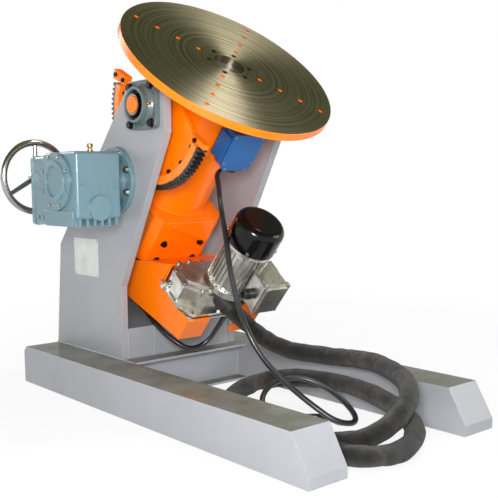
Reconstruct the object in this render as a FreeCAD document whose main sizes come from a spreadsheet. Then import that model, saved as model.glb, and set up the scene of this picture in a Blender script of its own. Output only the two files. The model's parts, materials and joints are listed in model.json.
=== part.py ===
"""Welding positioner: a hand-tilted, motor-turned work table between two uprights on a two-leg base.

Frame: +Z up, the table tips towards -Y, the tilt axis runs along X. The origin is on the floor,
straight below the tilt axis, in the middle plane of the machine. All sizes are in millimetres.
"""
import FreeCAD, Part
import math
import os
import re
import Sketcher

V = FreeCAD.Vector
doc = FreeCAD.newDocument("welding_positioner")

# ---------------------------------------------------------------- the sizes, each named once
SIZES = {
    # base; the tilt axis stands this far in front of the crossmember's middle
    "axis_reach": 132, "rest_tilt": 40,
    "leg_inner": 237, "leg_width": 130, "leg_height": 128, "leg_wall": 8, "leg_rear": 616,
    "leg_slope_start": 759, "leg_front": 817, "toe_height": 30, "rear_bevel": 18,
    "cross_front": 103, "cross_depth": 58, "cross_wall": 8, "cross_rear": 606,
    "deck_thick": 10, "front_panel_height": 100, "rear_panel_height": 232, "panel_thick": 8,
    "upright_thick": 25, "upright_front": 171, "upright_rear": 606,
    "front_kink_height": 366, "rear_kink_height": 489, "rear_kink_depth": 563,
    "nose_depth": 93, "nose_kink_height": 850, "upright_top": 1010, "top_rear_depth": 90,
    # tilt axis and its bearings
    "trunnion_height": 933, "trunnion_radius": 25, "trunnion_end": 292, "trunnion_inner": 172,
    "trunnion_flange": 58, "trunnion_flange_thick": 12,
    "running_gap": 0.05, "upright_bore": 40,
    "bearing_flange": 143, "bearing_flange_thick": 16, "bearing_boss": 53, "bearing_height": 46,
    "bearing_pitch": 111, "insert_outer": 45, "bolt_head_height": 10,
    "bolt_shank": 8, "bolt_length": 40,
    # sector and pinion
    "gear_module": 5, "sector_count": 100, "pinion_count": 14, "mesh_backlash": 0.5,
    "sector_inner": 212, "sector_width": 30, "web_thick": 14,
    "output_depth": 175.8,
    # hand drive gearbox
    "drive_outer": 450, "drive_inner": 296, "drive_fore": 118.8, "drive_aft": 86.2,
    "drive_rise": 88.4, "drive_drop": 112.6, "rib_depth": 22, "rib_thick": 9,
    "drive_flange": 108, "drive_flange_thick": 16, "drive_neck": 72, "drive_wall": 9,
    "cover_radius": 88, "cover_thick": 8, "boss_radius": 38, "boss_thick": 9,
    "input_outer": 432, "input_inner": 316, "input_reach": 196.2, "input_drop": 136.6,
    "input_lid_thick": 12, "worm_drop": 80, "hand_rise": 14.5,
    "output_shaft_radius": 22, "worm_shaft_radius": 12, "hand_shaft_radius": 11,
    "wheel_radius": 125, "wheel_rim": 11, "wheel_depth": 464, "wheel_hub": 22,
    # table
    "table_radius": 350, "table_top": 167, "table_thick": 25, "table_bore": 50,
    "groove_width": 0.8, "hole_radius": 8, "hole_first": 105, "hole_pitch": 70,
    "hub_radius": 88, "hub_thick": 24, "hub_screw_ring": 70, "locating_ring": 174,
    # tilting column and lower housing (measured along the table axis from the tilt axis)
    "column_radius": 130, "column_wall": 10, "column_top": 104, "column_foot": 335,
    "head_half": 172, "head_front": 126, "head_rear": 126, "head_top": 84, "head_bottom": 100,
    "box_half": 135, "box_front": 155, "box_rear": 150, "plate": 8, "arm_half": 150,
    "arm_front": 470, "arm_width": 92, "spindle_radius": 40, "spindle_foot": 562,
    "belt_level": 536, "belt_width": 22, "pulley_radius": 110, "drive_pulley_radius": 36,
    "box_foot": 548, "cover_start": 518, "spine": 384, "arm_foot": 543, "arm_top": 461, "far_top": 358,
    # gearmotor
    "gm_left": 155, "gm_right": 76, "gm_rear": 300, "gm_front": 452, "gm_top": 375,
    "gm_bottom": 458, "gm_output_x": 84, "gm_output_q": 372, "motor_q": 420, "motor_radius": 66,
    "fin_depth": 9, "earth_cable": 14, "link_cable": 17, "hose": 55,
    "motor_foot": 352, "motor_head": 190, "cowl_radius": 80, "cowl_top": 100,
}

sheet = doc.addObject("Spreadsheet::Sheet", "Sizes")
for row, (alias, value) in enumerate(SIZES.items(), start=1):
    sheet.set(f"A{row}", alias)
    sheet.set(f"B{row}", str(value))
    sheet.setAlias(f"B{row}", alias)
doc.recompute()

# places that follow from the sizes: the pinion meshes with the sector,
# and the gearbox goes with its output shaft
FOLLOWS = {
    "output_height": "(trunnion_height - sqrt((gear_module * (sector_count + pinion_count) / 2)^2 "
                     "- output_depth^2))",
    "drive_front": "(output_depth - drive_fore)", "drive_rear": "(output_depth + drive_aft)",
    "drive_top": "(output_height + drive_rise)", "drive_bottom": "(output_height - drive_drop)",
    "input_rear": "(output_depth + input_reach)", "input_low": "(output_height - input_drop)",
}
S = dict(SIZES)
gear_reach = S["gear_module"] * (S["sector_count"] + S["pinion_count"]) / 2
S["output_height"] = S["trunnion_height"] - math.sqrt(gear_reach ** 2 - S["output_depth"] ** 2)
S["drive_front"], S["drive_rear"] = S["output_depth"] - S["drive_fore"], S["output_depth"] + S["drive_aft"]
S["drive_top"], S["drive_bottom"] = S["output_height"] + S["drive_rise"], S["output_height"] - S["drive_drop"]
S["input_rear"], S["input_low"] = S["output_depth"] + S["input_reach"], S["output_height"] - S["input_drop"]
count = 0


def ex(text):
    """A size expression with every alias pointed at the sheet."""
    def word(found):
        name = found.group(0)
        if name in FOLLOWS:
            return ex(FOLLOWS[name])
        return "Sizes." + name if name in S else name

    return re.sub(r"[a-z][a-z_]+[a-z]", word, text)


def num(value):
    """The number that an expression gives, for the things no expression can drive."""
    return float(value) if not isinstance(value, str) else float(value_of(value))


def value_of(text):
    """Works out sums, differences, products and quotients of sizes, left to right, with brackets."""
    tokens = re.findall(r"[a-z_]+|[\d.]+|[-+*/()]", text)

    def expression(i):
        total, i = term(i)
        while i < len(tokens) and tokens[i] in "+-":
            part, j = term(i + 1)
            total = total + part if tokens[i] == "+" else total - part
            i = j
        return total, i

    def term(i):
        product, i = factor(i)
        while i < len(tokens) and tokens[i] in "*/":
            part, j = factor(i + 1)
            product = product * part if tokens[i] == "*" else product / part
            i = j
        return product, i

    def factor(i):
        if tokens[i] == "-":
            part, i = factor(i + 1)
            return -part, i
        if tokens[i] == "(":
            part, i = expression(i + 1)
            return part, i + 1
        return (S[tokens[i]] if tokens[i] in S else float(tokens[i])), i + 1

    return expression(0)[0]


def drive(obj, prop, value):
    """Sets a property to a number, or binds it to a size expression."""
    if isinstance(value, str):
        obj.setExpression(prop, ex(value))
    else:
        target = obj
        names = prop.split(".")
        if len(names) == 1:
            setattr(target, prop, value)
        else:
            base = obj.Placement.Base
            setattr(base, names[-1], value)
            obj.Placement = FreeCAD.Placement(base, obj.Placement.Rotation)


def new(kind, name=None):
    global count
    count += 1
    return doc.addObject(kind, name or f"step{count}")


TURNS = {"z": FreeCAD.Rotation(), "x": FreeCAD.Rotation(V(0, 1, 0), 90),
         "y": FreeCAD.Rotation(V(1, 0, 0), -90)}


def place(obj, at, turn=None):
    obj.Placement = FreeCAD.Placement(V(*[num(v) for v in at]), turn or FreeCAD.Rotation())
    for axis, value in zip("xyz", at):
        if isinstance(value, str):
            obj.setExpression(f"Placement.Base.{axis}", ex(value))
    return obj


def block(low, size):
    """A box from its low corner and its three sizes."""
    obj = new("Part::Box")
    for prop, value in zip(("Length", "Width", "Height"), size):
        drive(obj, prop, value)
    return place(obj, low)


def rod(at, axis, radius, length):
    """A cylinder that starts at a point and runs along +axis."""
    obj = new("Part::Cylinder")
    drive(obj, "Radius", radius)
    drive(obj, "Height", length)
    return place(obj, at, TURNS[axis])


def cone(at, axis, radius, radius_far, length):
    obj = new("Part::Cone")
    drive(obj, "Radius1", radius)
    drive(obj, "Radius2", radius_far)
    drive(obj, "Height", length)
    return place(obj, at, TURNS[axis])


def ring(at, axis, radius, pipe):
    obj = new("Part::Torus")
    drive(obj, "Radius1", radius)
    drive(obj, "Radius2", pipe)
    return place(obj, at, TURNS[axis])


def prism(axis, start, points, depth):
    """A plate: a polygon across `axis`, given by its size expressions, from `start` for `depth`.

    Across x the polygon is (y, z), across y it is (x, z) and across z it is (x, y)."""
    sketch = new("Sketcher::SketchObject")
    turn = {"x": FreeCAD.Rotation(V(1, 1, 1), 120), "y": FreeCAD.Rotation(V(1, 0, 0), 90),
            "z": FreeCAD.Rotation()}
    at = {"x": (start, 0, 0), "y": (0, start, 0), "z": (0, 0, start)}[axis]
    place(sketch, at, turn[axis])
    flat = [V(num(u), num(v), 0) for u, v in points]
    for a, b in zip(flat, flat[1:] + flat[:1]):
        sketch.addGeometry(Part.LineSegment(a, b), False)
    n = len(flat)
    for i in range(n):
        sketch.addConstraint(Sketcher.Constraint("Coincident", i, 2, (i + 1) % n, 1))
    for i, ((u, v), p) in enumerate(zip(points, flat)):
        for kind, value, number in (("DistanceX", u, p.x), ("DistanceY", v, p.y)):
            if abs(number) < 1e-9:
                sketch.addConstraint(Sketcher.Constraint("PointOnObject", i, 1,
                                                         -2 if kind[-1] == "X" else -1))
                continue
            k = sketch.addConstraint(Sketcher.Constraint(kind, -1, 1, i, 1, number))
            if isinstance(value, str):
                sketch.setExpression(f"Constraints[{k}]", ex(value))
    solid = new("Part::Extrusion")
    solid.Base = sketch
    solid.DirMode = "Normal"
    solid.Solid = True
    sign = -1 if axis == "y" else 1
    drive(solid, "LengthFwd" if sign > 0 else "LengthRev", depth)
    if sign < 0:
        solid.LengthFwd = 0
    return solid


def fuse(parts):
    obj = new("Part::MultiFuse")
    obj.Shapes = parts
    return obj


def cut(body, tools):
    obj = new("Part::Cut")
    obj.Base = body
    obj.Tool = tools[0] if len(tools) == 1 else fuse(tools)
    return obj


def gather(parts):
    """Several loose solids as one sub-part."""
    obj = new("Part::Compound")
    obj.Links = parts
    return obj


def edges_of(obj, test):
    doc.recompute()
    return [i + 1 for i, e in enumerate(obj.Shape.Edges) if test(e)]


def along(axis, low=0.0):
    """An edge test: straight, along an axis, and at least `low` long."""
    k = "xyz".index(axis)

    def test(e):
        if e.Curve.TypeId != "Part::GeomLine" or e.Length < low:
            return False
        d = e.Curve.Direction
        return abs((d.x, d.y, d.z)[k]) > 0.999

    return test


def rounded(obj, radius, test, kind="Part::Fillet"):
    picked = edges_of(obj, test)
    out = new(kind)
    out.Base = obj
    out.Edges = [(i, radius, radius) for i in picked]
    doc.recompute()
    if out.Shape.isNull() or not out.Shape.isValid():
        doc.removeObject(out.Name)
        return obj
    obj.Visibility = False
    return out


def bevelled(obj, size, test):
    return rounded(obj, size, test, "Part::Chamfer")


PARTS = {}


def part(name, obj, tilted=False):
    """Names a finished sub-part and sets it back by the axis reach; a tilted one was drawn level,
    about the tilt axis, and is turned to the angle of rest here."""
    if obj.TypeId not in ("Part::Cut", "Part::MultiFuse", "Part::Compound", "Part::Fillet", "Part::Chamfer"):
        obj = gather([obj])
    obj.Label = name
    turn = FreeCAD.Rotation(V(1, 0, 0), S["rest_tilt"]) if tilted else FreeCAD.Rotation()
    obj.Placement = FreeCAD.Placement(V(0, -S["axis_reach"], S["trunnion_height"] if tilted else 0), turn)
    obj.setExpression("Placement.Base.y", ex("-axis_reach"))
    if tilted:
        obj.setExpression("Placement.Base.z", ex("trunnion_height"))
        obj.setExpression("Placement.Rotation.Angle", ex("rest_tilt") + " * 1 deg")
    PARTS[name] = obj
    return obj


def capscrew(at, axis, head, height, shank, length, flip=1):
    """A hexagon-socket screw: the head stands on the point, the shank runs the other way."""
    x, y, z = [num(v) for v in at]
    k = "xyz".index(axis)

    def shift(d):
        p = [x, y, z]
        p[k] += d
        return p

    top = rod(shift(0 if flip > 0 else -num(height)), axis, head, height)
    foot = rod(shift(-num(length) if flip > 0 else 0), axis, shank, length)
    socket = new("Part::Prism")
    socket.Polygon = 6
    socket.Circumradius = num(head) * 0.55
    socket.Height = num(height) * 0.5
    place(socket, shift(num(height) * (0.5 if flip > 0 else -1)), TURNS[axis])
    return cut(fuse([top, foot]), [socket])


def hexbolt(at, axis, across, height, shank, length, flip=1):
    """A hexagon-head bolt with a washer face."""
    x, y, z = [num(v) for v in at]
    k = "xyz".index(axis)

    def shift(d):
        p = [x, y, z]
        p[k] += d
        return p

    head = new("Part::Prism")
    head.Polygon = 6
    head.Circumradius = across / math.sqrt(3)
    drive(head, "Height", height)
    place(head, shift(1.5 if flip > 0 else -num(height) - 1.5), TURNS[axis])
    washer = rod(shift(0 if flip > 0 else -1.5), axis, across * 0.72, 1.5)
    foot = rod(shift(-num(length) if flip > 0 else 0), axis, shank, length)
    return fuse([head, washer, foot])


# ---------------------------------------------------------------- gears
def tooth_gap(module, teeth, backlash, addendum=1.0, half_turn=0.0):
    """The outline of one gap between involute teeth, centred on the +x direction."""
    pitch, pressure = module * teeth / 2, math.radians(20)
    base, root, tip = pitch * math.cos(pressure), pitch - 1.25 * module, pitch + addendum * module

    def involute(r):
        a = math.acos(min(1.0, base / r))
        return math.tan(a) - a

    half_tooth = (math.pi * module / 2 - backlash / 2) / (2 * pitch)

    def half_gap(r):
        return math.pi / teeth - (half_tooth + involute(pitch) - involute(max(r, base)))

    radii = [root] + [max(root, base) + (tip + 1 - max(root, base)) * k / 4 for k in range(5)]
    if root >= base:
        radii = [root + (tip + 1 - root) * k / 4 for k in range(5)]
    side = [(r * math.cos(half_gap(r)), r * math.sin(half_gap(r))) for r in radii]
    return [(x, -y) for x, y in side] + [(x, y) for x, y in reversed(side)]


def turned(points, angle):
    c, s = math.cos(math.radians(angle)), math.sin(math.radians(angle))
    return [(x * c - y * s, x * s + y * c) for x, y in points]


def outline(sketch, points):
    flat = [V(x, y, 0) for x, y in points]
    for a, b in zip(flat, flat[1:] + flat[:1]):
        sketch.addGeometry(Part.LineSegment(a, b), False)
    for i in range(len(flat)):
        sketch.addConstraint(Sketcher.Constraint("Coincident", i, 2, (i + 1) % len(flat), 1))


def toothed(name, blank, width, module, teeth, backlash, first, many, bore, at, turn, addendum=1.0):
    """A PartDesign body: the blank sketch padded, one tooth gap pocketed and patterned round the axis."""
    body = doc.addObject("PartDesign::Body", name + "_body")
    origin = {f.Role: f for f in body.Origin.OriginFeatures}
    face = body.newObject("Sketcher::SketchObject", name + "_blank")
    face.AttachmentSupport = [(origin["XY_Plane"], "")]
    face.MapMode = "FlatFace"
    blank(face)
    pad = body.newObject("PartDesign::Pad", name + "_pad")
    pad.Profile = face
    drive(pad, "Length", width)
    doc.recompute()
    gap = body.newObject("Sketcher::SketchObject", name + "_gap")
    gap.AttachmentSupport = [(origin["XY_Plane"], "")]
    gap.MapMode = "FlatFace"
    outline(gap, turned(tooth_gap(module, teeth, backlash, addendum), first))
    pocket = body.newObject("PartDesign::Pocket", name + "_pocket")
    pocket.Profile = gap
    pocket.Type = "ThroughAll"
    pocket.Reversed = True
    doc.recompute()
    round_axis = body.newObject("PartDesign::PolarPattern", name + "_teeth")
    round_axis.Originals = [pocket]
    round_axis.Axis = (origin["Z_Axis"], [""])
    round_axis.Occurrences = many
    round_axis.Angle = 360 if many == teeth else 360.0 / teeth * (many - 1)
    body.Tip = round_axis
    doc.recompute()
    body.Placement = FreeCAD.Placement(V(*[num(v) for v in at]), turn)
    return body


def disc(radius, bore=None):
    def draw(sketch):
        for k, r in enumerate([radius] + ([bore] if bore else [])):
            sketch.addGeometry(Part.Circle(V(0, 0, 0), V(0, 0, 1), num(r)), False)
            sketch.addConstraint(Sketcher.Constraint("Coincident", k, 3, -1, 1))
            c = sketch.addConstraint(Sketcher.Constraint("Radius", k, num(r)))
            if isinstance(r, str):
                sketch.setExpression(f"Constraints[{c}]", ex(r))

    return draw


TO_X = FreeCAD.Rotation(V(1, 1, 1), 120)  # sketch x, y, z become y, z, x
TO_Y = FreeCAD.Rotation(V(1, 0, 0), -90)  # sketch x, y, z become x, -z, y

# ---------------------------------------------------------------- base: two legs and the crossmember
for side, name in ((-1, "leg_left"), (1, "leg_right")):
    start = "-leg_inner - leg_width" if side < 0 else "leg_inner"
    inside = "-leg_inner - leg_width + leg_wall" if side < 0 else "leg_inner + leg_wall"
    shell = prism("x", start, [
        ("leg_rear", "0"), ("leg_rear", "leg_height - rear_bevel"), ("leg_rear - rear_bevel", "leg_height"),
        ("-leg_slope_start", "leg_height"), ("-leg_front", "toe_height"), ("-leg_front", "0")], "leg_width")
    hollow = prism("x", inside, [
        ("leg_rear - leg_wall", "leg_wall"), ("leg_rear - leg_wall",
                                              "leg_height - rear_bevel - leg_wall / 2"),
        ("leg_rear - rear_bevel - leg_wall / 2", "leg_height - leg_wall"),
        ("-leg_slope_start + leg_wall / 2", "leg_height - leg_wall"),
        ("-leg_front + leg_wall", "toe_height - leg_wall / 2"), ("-leg_front + leg_wall", "leg_wall")],
        "leg_width - leg_wall * 2")
    drain = rod(("(leg_inner + leg_width / 2) * " + str(side), "leg_rear - 60", -1), "z", 8, "leg_wall + 2")
    part(name, cut(shell, [hollow, drain]))

span = "leg_inner * 2"
web = "cross_front + cross_depth"
channels = [prism("x", "-leg_inner", [
    ("cross_front", "0"), (web, "0"), (web, "leg_height"), ("cross_front", "leg_height"),
    ("cross_front", "leg_height - cross_wall"), (web + " - cross_wall", "leg_height - cross_wall"),
    (web + " - cross_wall", "cross_wall"), ("cross_front", "cross_wall")], span)]
back = "cross_rear - cross_depth"
channels.append(prism("x", "-leg_inner", [
    (back, "0"), ("cross_rear", "0"), ("cross_rear", "cross_wall"), (back + " + cross_wall", "cross_wall"),
    (back + " + cross_wall", "leg_height - cross_wall"), ("cross_rear", "leg_height - cross_wall"),
    ("cross_rear", "leg_height"), (back, "leg_height")], span))
channels.append(block(("-leg_inner", web, "leg_height - deck_thick"),
                         (span, "cross_rear - cross_front - cross_depth * 2", "deck_thick")))
part("crossmember", fuse(channels))
gap = "leg_inner - upright_thick"
panels = [block(("-(" + gap + ")", "upright_front", "leg_height"),
                          ("(" + gap + ") * 2", "panel_thick", "front_panel_height"))]
panels.append(block(("-(" + gap + ")", "upright_rear - panel_thick", "leg_height"),
                         ("(" + gap + ") * 2", "panel_thick", "rear_panel_height")))
part("base_panels", gather(panels))

BOLT_AT = [(a, b) for a in (-1, 1) for b in (-1, 1)]
for side, name in ((-1, "upright_left"), (1, "upright_right")):
    start = "-leg_inner" if side < 0 else gap
    slab = prism("x", start, [
        ("upright_front", "leg_height"), ("upright_rear", "leg_height"),
        ("rear_kink_depth", "rear_kink_height"), ("top_rear_depth", "upright_top"),
        ("-nose_depth + 14", "upright_top"), ("-nose_depth", "upright_top - 14"),
        ("-nose_depth", "nose_kink_height"), ("upright_front", "front_kink_height")], "upright_thick")
    holes = [rod((start, 0, "trunnion_height"), "x", "upright_bore", "upright_thick")]
    for a, b in BOLT_AT:
        holes.append(rod((start, f"bearing_pitch / 2 * {a}", f"trunnion_height + bearing_pitch / 2 * {b}"),
                         "x", "bolt_shank", "upright_thick"))
    if side < 0:
        holes.append(rod((start, "output_depth", "output_height"), "x", 46, "upright_thick"))
    part(name, cut(slab, holes))

# ---------------------------------------------------------------- flange bearings of the tilt axis
units, inserts, bolts, nipples = [], [], [], []
for side in (-1, 1):
    face = "leg_inner" if side > 0 else "-leg_inner - bearing_flange_thick"
    low = "leg_inner" if side > 0 else "-leg_inner - bearing_height"
    square = block((face, "-bearing_flange / 2", "trunnion_height - bearing_flange / 2"),
                   ("bearing_flange_thick", "bearing_flange", "bearing_flange"))
    square = rounded(square, 20, along("x"))
    boss = rod((low, 0, "trunnion_height"), "x", "bearing_boss", "bearing_height")
    lip = "leg_inner + bearing_flange_thick" if side > 0 else "-leg_inner - bearing_flange_thick - 12"
    collar = (cone((lip, 0, "trunnion_height"), "x", "bearing_boss + 9", "bearing_boss", 12) if side > 0
              else cone((lip, 0, "trunnion_height"), "x", "bearing_boss", "bearing_boss + 9", 12))
    pads = [rod(("leg_inner + bearing_flange_thick" if side > 0 else "-leg_inner - bearing_flange_thick - 4",
                 f"bearing_pitch / 2 * {a}", f"trunnion_height + bearing_pitch / 2 * {b}"), "x", 14, 4)
            for a, b in BOLT_AT]
    tools = [rod((low, 0, "trunnion_height"), "x", "insert_outer", "bearing_height")]
    for a, b in BOLT_AT:
        at = (face, f"bearing_pitch / 2 * {a}", f"trunnion_height + bearing_pitch / 2 * {b}")
        tools.append(rod((face if side > 0 else "-leg_inner - bearing_flange_thick - 4", at[1], at[2]),
                         "x", "bolt_shank", "bearing_flange_thick + 4"))
        bolts.append(hexbolt((f"(leg_inner + bearing_flange_thick + 4) * {side}", at[1], at[2]), "x", 19,
                             "bolt_head_height", "bolt_shank", "bolt_length", flip=side))
    units.append(cut(fuse([square, boss, collar] + pads), tools))
    outer = cut(rod((f"leg_inner * {side} + {6 if side > 0 else -34}", 0, "trunnion_height"), "x",
                    "insert_outer", 28),
                [rod((f"leg_inner * {side} + {5 if side > 0 else -35}", 0, "trunnion_height"), "x", 37, 30)])
    seal = rod((f"leg_inner * {side} + {24 if side > 0 else -28}", 0, "trunnion_height"), "x", 37.5, 4)
    inner = rod((f"leg_inner * {side} + {4 if side > 0 else -50}", 0, "trunnion_height"), "x", 33, 46)
    bore = rod((f"leg_inner * {side} - 60", 0, "trunnion_height"), "x", "trunnion_radius + running_gap", 120)
    inserts.append(cut(fuse([outer, seal, inner]), [bore]))
    nip = f"(leg_inner + bearing_height - 14) * {side}"
    nipples.append(fuse([rod((nip, "-bearing_boss - 5", "trunnion_height"), "y", 4.5, 7),
                         rod((nip, "-bearing_boss - 12", "trunnion_height"), "y", 3, 8),
                         rod((nip, "-bearing_boss - 13", "trunnion_height"), "y", 4, 3)]))
part("bearing_units", gather(units))
part("bearing_inserts", gather(inserts))
part("bearing_bolts", gather(bolts))

# ---------------------------------------------------------------- tilt drive: sector, pinion and hand gearbox
ratio_angle = math.degrees(math.atan2(S["output_height"] - S["trunnion_height"], S["output_depth"]))
step = 360 / S["sector_count"]
first_gap = ratio_angle - 25.5 * step
gaps = 46
low_end, high_end = first_gap - 0.85 * step, first_gap + (gaps - 1 + 0.85) * step


def sector_blank(sketch):
    """A thick rim between the ends of the sector; the web is a part of its own."""
    tip = S["gear_module"] * (S["sector_count"] / 2 + 0.8)
    a, b = math.radians(low_end), math.radians(high_end)
    sketch.addGeometry(Part.ArcOfCircle(Part.Circle(V(0, 0, 0), V(0, 0, 1), tip), a, b), False)
    sketch.addGeometry(Part.ArcOfCircle(Part.Circle(V(0, 0, 0), V(0, 0, 1), S["sector_inner"]), a, b), False)
    near = [V(r * math.cos(t), r * math.sin(t), 0) for r, t in
            ((tip, a), (S["sector_inner"], a), (tip, b), (S["sector_inner"], b))]
    sketch.addGeometry(Part.LineSegment(near[0], near[1]), False)
    sketch.addGeometry(Part.LineSegment(near[2], near[3]), False)
    for pair in ((0, 1, 2, 1), (1, 1, 2, 2), (0, 2, 3, 1), (1, 2, 3, 2)):
        sketch.addConstraint(Sketcher.Constraint("Coincident", *pair))
    sketch.addConstraint(Sketcher.Constraint("Coincident", 0, 3, -1, 1))
    sketch.addConstraint(Sketcher.Constraint("Coincident", 1, 3, -1, 1))
    c = sketch.addConstraint(Sketcher.Constraint("Radius", 0, tip))
    sketch.setExpression(f"Constraints[{c}]", "Sizes.gear_module * (Sizes.sector_count / 2 + 0.8)")
    c = sketch.addConstraint(Sketcher.Constraint("Radius", 1, S["sector_inner"]))
    sketch.setExpression(f"Constraints[{c}]", "Sizes.sector_inner")


sector_face = -(S["head_half"] + S["sector_width"])
rim = toothed("sector", sector_blank, "sector_width", S["gear_module"], S["sector_count"], S["mesh_backlash"],
              first_gap, gaps, None, (sector_face, -S["axis_reach"], S["trunnion_height"]), TO_X,
              addendum=0.8)
rim.Label = "tilt_sector_rim"
PARTS["tilt_sector_rim"] = rim

pinion = toothed("pinion", disc(S["gear_module"] * (S["pinion_count"] / 2 + 1), "output_shaft_radius"),
                 "sector_width + 4", S["gear_module"], S["pinion_count"], S["mesh_backlash"],
                 ratio_angle + 180, int(S["pinion_count"]), None,
                 (sector_face - 2, S["output_depth"] - S["axis_reach"], S["output_height"]), TO_X)
pinion.Label = "pinion"
PARTS["pinion"] = pinion

worm_height = "(output_height - worm_drop)"
hand_height = "(output_height + hand_rise)"
mid = "(-(drive_outer + drive_inner) / 2)"
shaft = rod(("-drive_outer + 14", "output_depth", "output_height"), "x", "output_shaft_radius",
            "drive_outer - 14 - head_half + 4")
part("output_shaft", cut(shaft, [rod(("-head_half + 2 - 10", "output_depth", "output_height"), "x", 5, 12)]))

# the housing: a main block, a lower rear block for the input stage, a neck and a round flange
main = block(("-drive_outer", "drive_front", "drive_bottom"),
             ("drive_outer - drive_inner", "drive_rear - drive_front", "drive_top - drive_bottom"))
main = rounded(main, 10, lambda e: True)
rear = block(("-input_outer", "drive_rear - 20", "input_low"),
             ("input_outer - input_inner", "input_rear - drive_rear + 20 - input_lid_thick",
              "drive_top - 8 - input_low"))
rear = rounded(rear, 12, along("y"))
neck = rod(("-drive_inner - 10", "output_depth", "output_height"), "x", "drive_neck",
           "drive_inner + 10 - leg_inner")
plate = rod(("-leg_inner - drive_flange_thick", "output_depth", "output_height"), "x", "drive_flange",
            "drive_flange_thick")
spigot = rod(("-leg_inner - 1", "output_depth", "output_height"), "x", 45.5, 14)
boss = rod((mid, "drive_front - boss_thick", worm_height), "y", "boss_radius", "boss_thick + 2")
ribs = [block((f"-drive_outer + 10 + {k} * 25", "drive_front + 6", "drive_bottom - rib_depth"),
              ("rib_thick", "drive_rear - drive_front - 24", "rib_depth + 12")) for k in range(6)]
lug = block(("-drive_outer - 5", "drive_front + 20", "drive_bottom - rib_depth"),
            (26, "drive_rear - drive_front - 40", 46))
pad = block(("-drive_outer + 12", "drive_front - 4", "drive_top - 40"),
            ("drive_outer - drive_inner - 24", 8, 26))
casting = fuse([main, rear, neck, plate, spigot, boss, lug] + ribs)
wheel_room = rod(("-drive_outer", "output_depth", "output_height"), "x", 66,
                 "drive_outer - drive_inner - drive_wall")
worm_room = rod((mid, "drive_front + drive_wall", worm_height), "y", 24,
                "input_rear - drive_front - drive_wall")
gear_room = fuse([rod((mid, "drive_rear + 22", worm_height), "y", 48, 40),
                  rod((mid, "drive_rear + 22", hand_height), "y", 58, 40)])
rear_room = block((mid + " - 44", "drive_rear + 62", worm_height + " - 40"),
                  (88, 60, "worm_drop + hand_rise + 76"))
shaft_bore = rod(("-drive_outer", "output_depth", "output_height"), "x", "output_shaft_radius + running_gap",
                 "drive_outer - leg_inner + 30")
part("drive_housing", cut(casting, [wheel_room, worm_room, gear_room, rear_room, shaft_bore]))

lid_disc = rod(("-drive_outer - cover_thick", "output_depth", "output_height"), "x", "cover_radius",
               "cover_thick")
lid_step = cut(rod(("-drive_outer - cover_thick - 4", "output_depth", "output_height"), "x", 62, 4.5),
               [rod(("-drive_outer - cover_thick - 5", "output_depth", "output_height"), "x", 47, 6)])
lid_boss = rod(("-drive_outer - 1", "output_depth", "output_height"), "x", 36, 25)
lid_bore = rod(("-drive_outer + 12", "output_depth", "output_height"), "x",
               "output_shaft_radius + running_gap", 20)
cover_screw_at = [(78 * math.cos(math.radians(22.5 + 45 * k)), 78 * math.sin(math.radians(22.5 + 45 * k)))
                  for k in range(8)]
part("drive_cover", cut(fuse([lid_disc, lid_step, lid_boss]), [lid_bore]))

lid = block(("-input_outer - 4", "input_rear - input_lid_thick", "input_low - 2"),
            ("input_outer - input_inner + 8", "input_lid_thick", "drive_top - 8 - input_low + 4"))
lid = rounded(lid, 14, along("y"))
nose = cone((mid, "input_rear", hand_height), "y", 30, 24, 22)
lid_turn = rod((mid, "input_rear - input_lid_thick - 1", hand_height), "y",
               "hand_shaft_radius + running_gap", 40)
part("drive_input_lid", cut(fuse([lid, nose]), [lid_turn]))

screws = []
for y, z in cover_screw_at:
    screws.append(capscrew(("-drive_outer - cover_thick", S["output_depth"] + y, S["output_height"] + z), "x",
                           5, 4, 3, 8, flip=-1))
for x in (-52, 52):
    for z in (16, 108, 200):
        screws.append(capscrew((value_of(mid) + x, S["input_rear"], S["input_low"] + z),
                               "y", 5, 4, 3, 12, flip=1))
for y, z in ((20, 24), (44, 24), (20, 46), (70, 24)):
    screws.append(capscrew((-S["input_outer"], S["drive_rear"] + y, S["input_low"] + z), "x", 5, 4, 3, 6,
                           flip=-1))

bolts = []
for k in range(8):
    a = math.radians(22.5 + 45 * k)
    bolts.append(hexbolt(("-leg_inner - drive_flange_thick", S["output_depth"] + 91 * math.cos(a),
                          S["output_height"] + 91 * math.sin(a)), "x", 16, 8, 5, 20, flip=-1))
part("drive_screws", gather(screws + bolts))
breather = (fuse([rod((mid, 105, "drive_top - 4"), "z", 9, 9),
                             rod((mid, 105, "drive_top + 4"), "z", 6, 12),
                             rounded(rod((mid, 105, "drive_top + 12"), "z", 9, 12), 3, lambda e: True)]))
part("oil_fittings", gather(nipples + [breather]))

worm_wheel = toothed("worm_wheel", disc(57.5, "output_shaft_radius"), 30, 4, 30, 1.0, 0, 30, None,
                     (value_of(mid) - 15, S["output_depth"] - S["axis_reach"], S["output_height"]), TO_X,
                     addendum=-0.6)
worm_wheel.Label = "worm_wheel"
PARTS["worm_wheel"] = worm_wheel
worm = [rod((mid, "drive_front + drive_wall + 1", worm_height), "y", "worm_shaft_radius",
            "input_rear - drive_front - drive_wall - input_lid_thick - 8")]
worm += [cone((mid, f"output_depth - 42 + {12 * k}", worm_height), "y", 16, 21.5, 3) for k in range(8)]
worm += [cone((mid, f"output_depth - 39 + {12 * k}", worm_height), "y", 21.5, 16, 3) for k in range(8)]
part("worm_shaft", fuse(worm + [rod((mid, "output_depth - 46", worm_height), "y", 16, 98)]))


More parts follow.
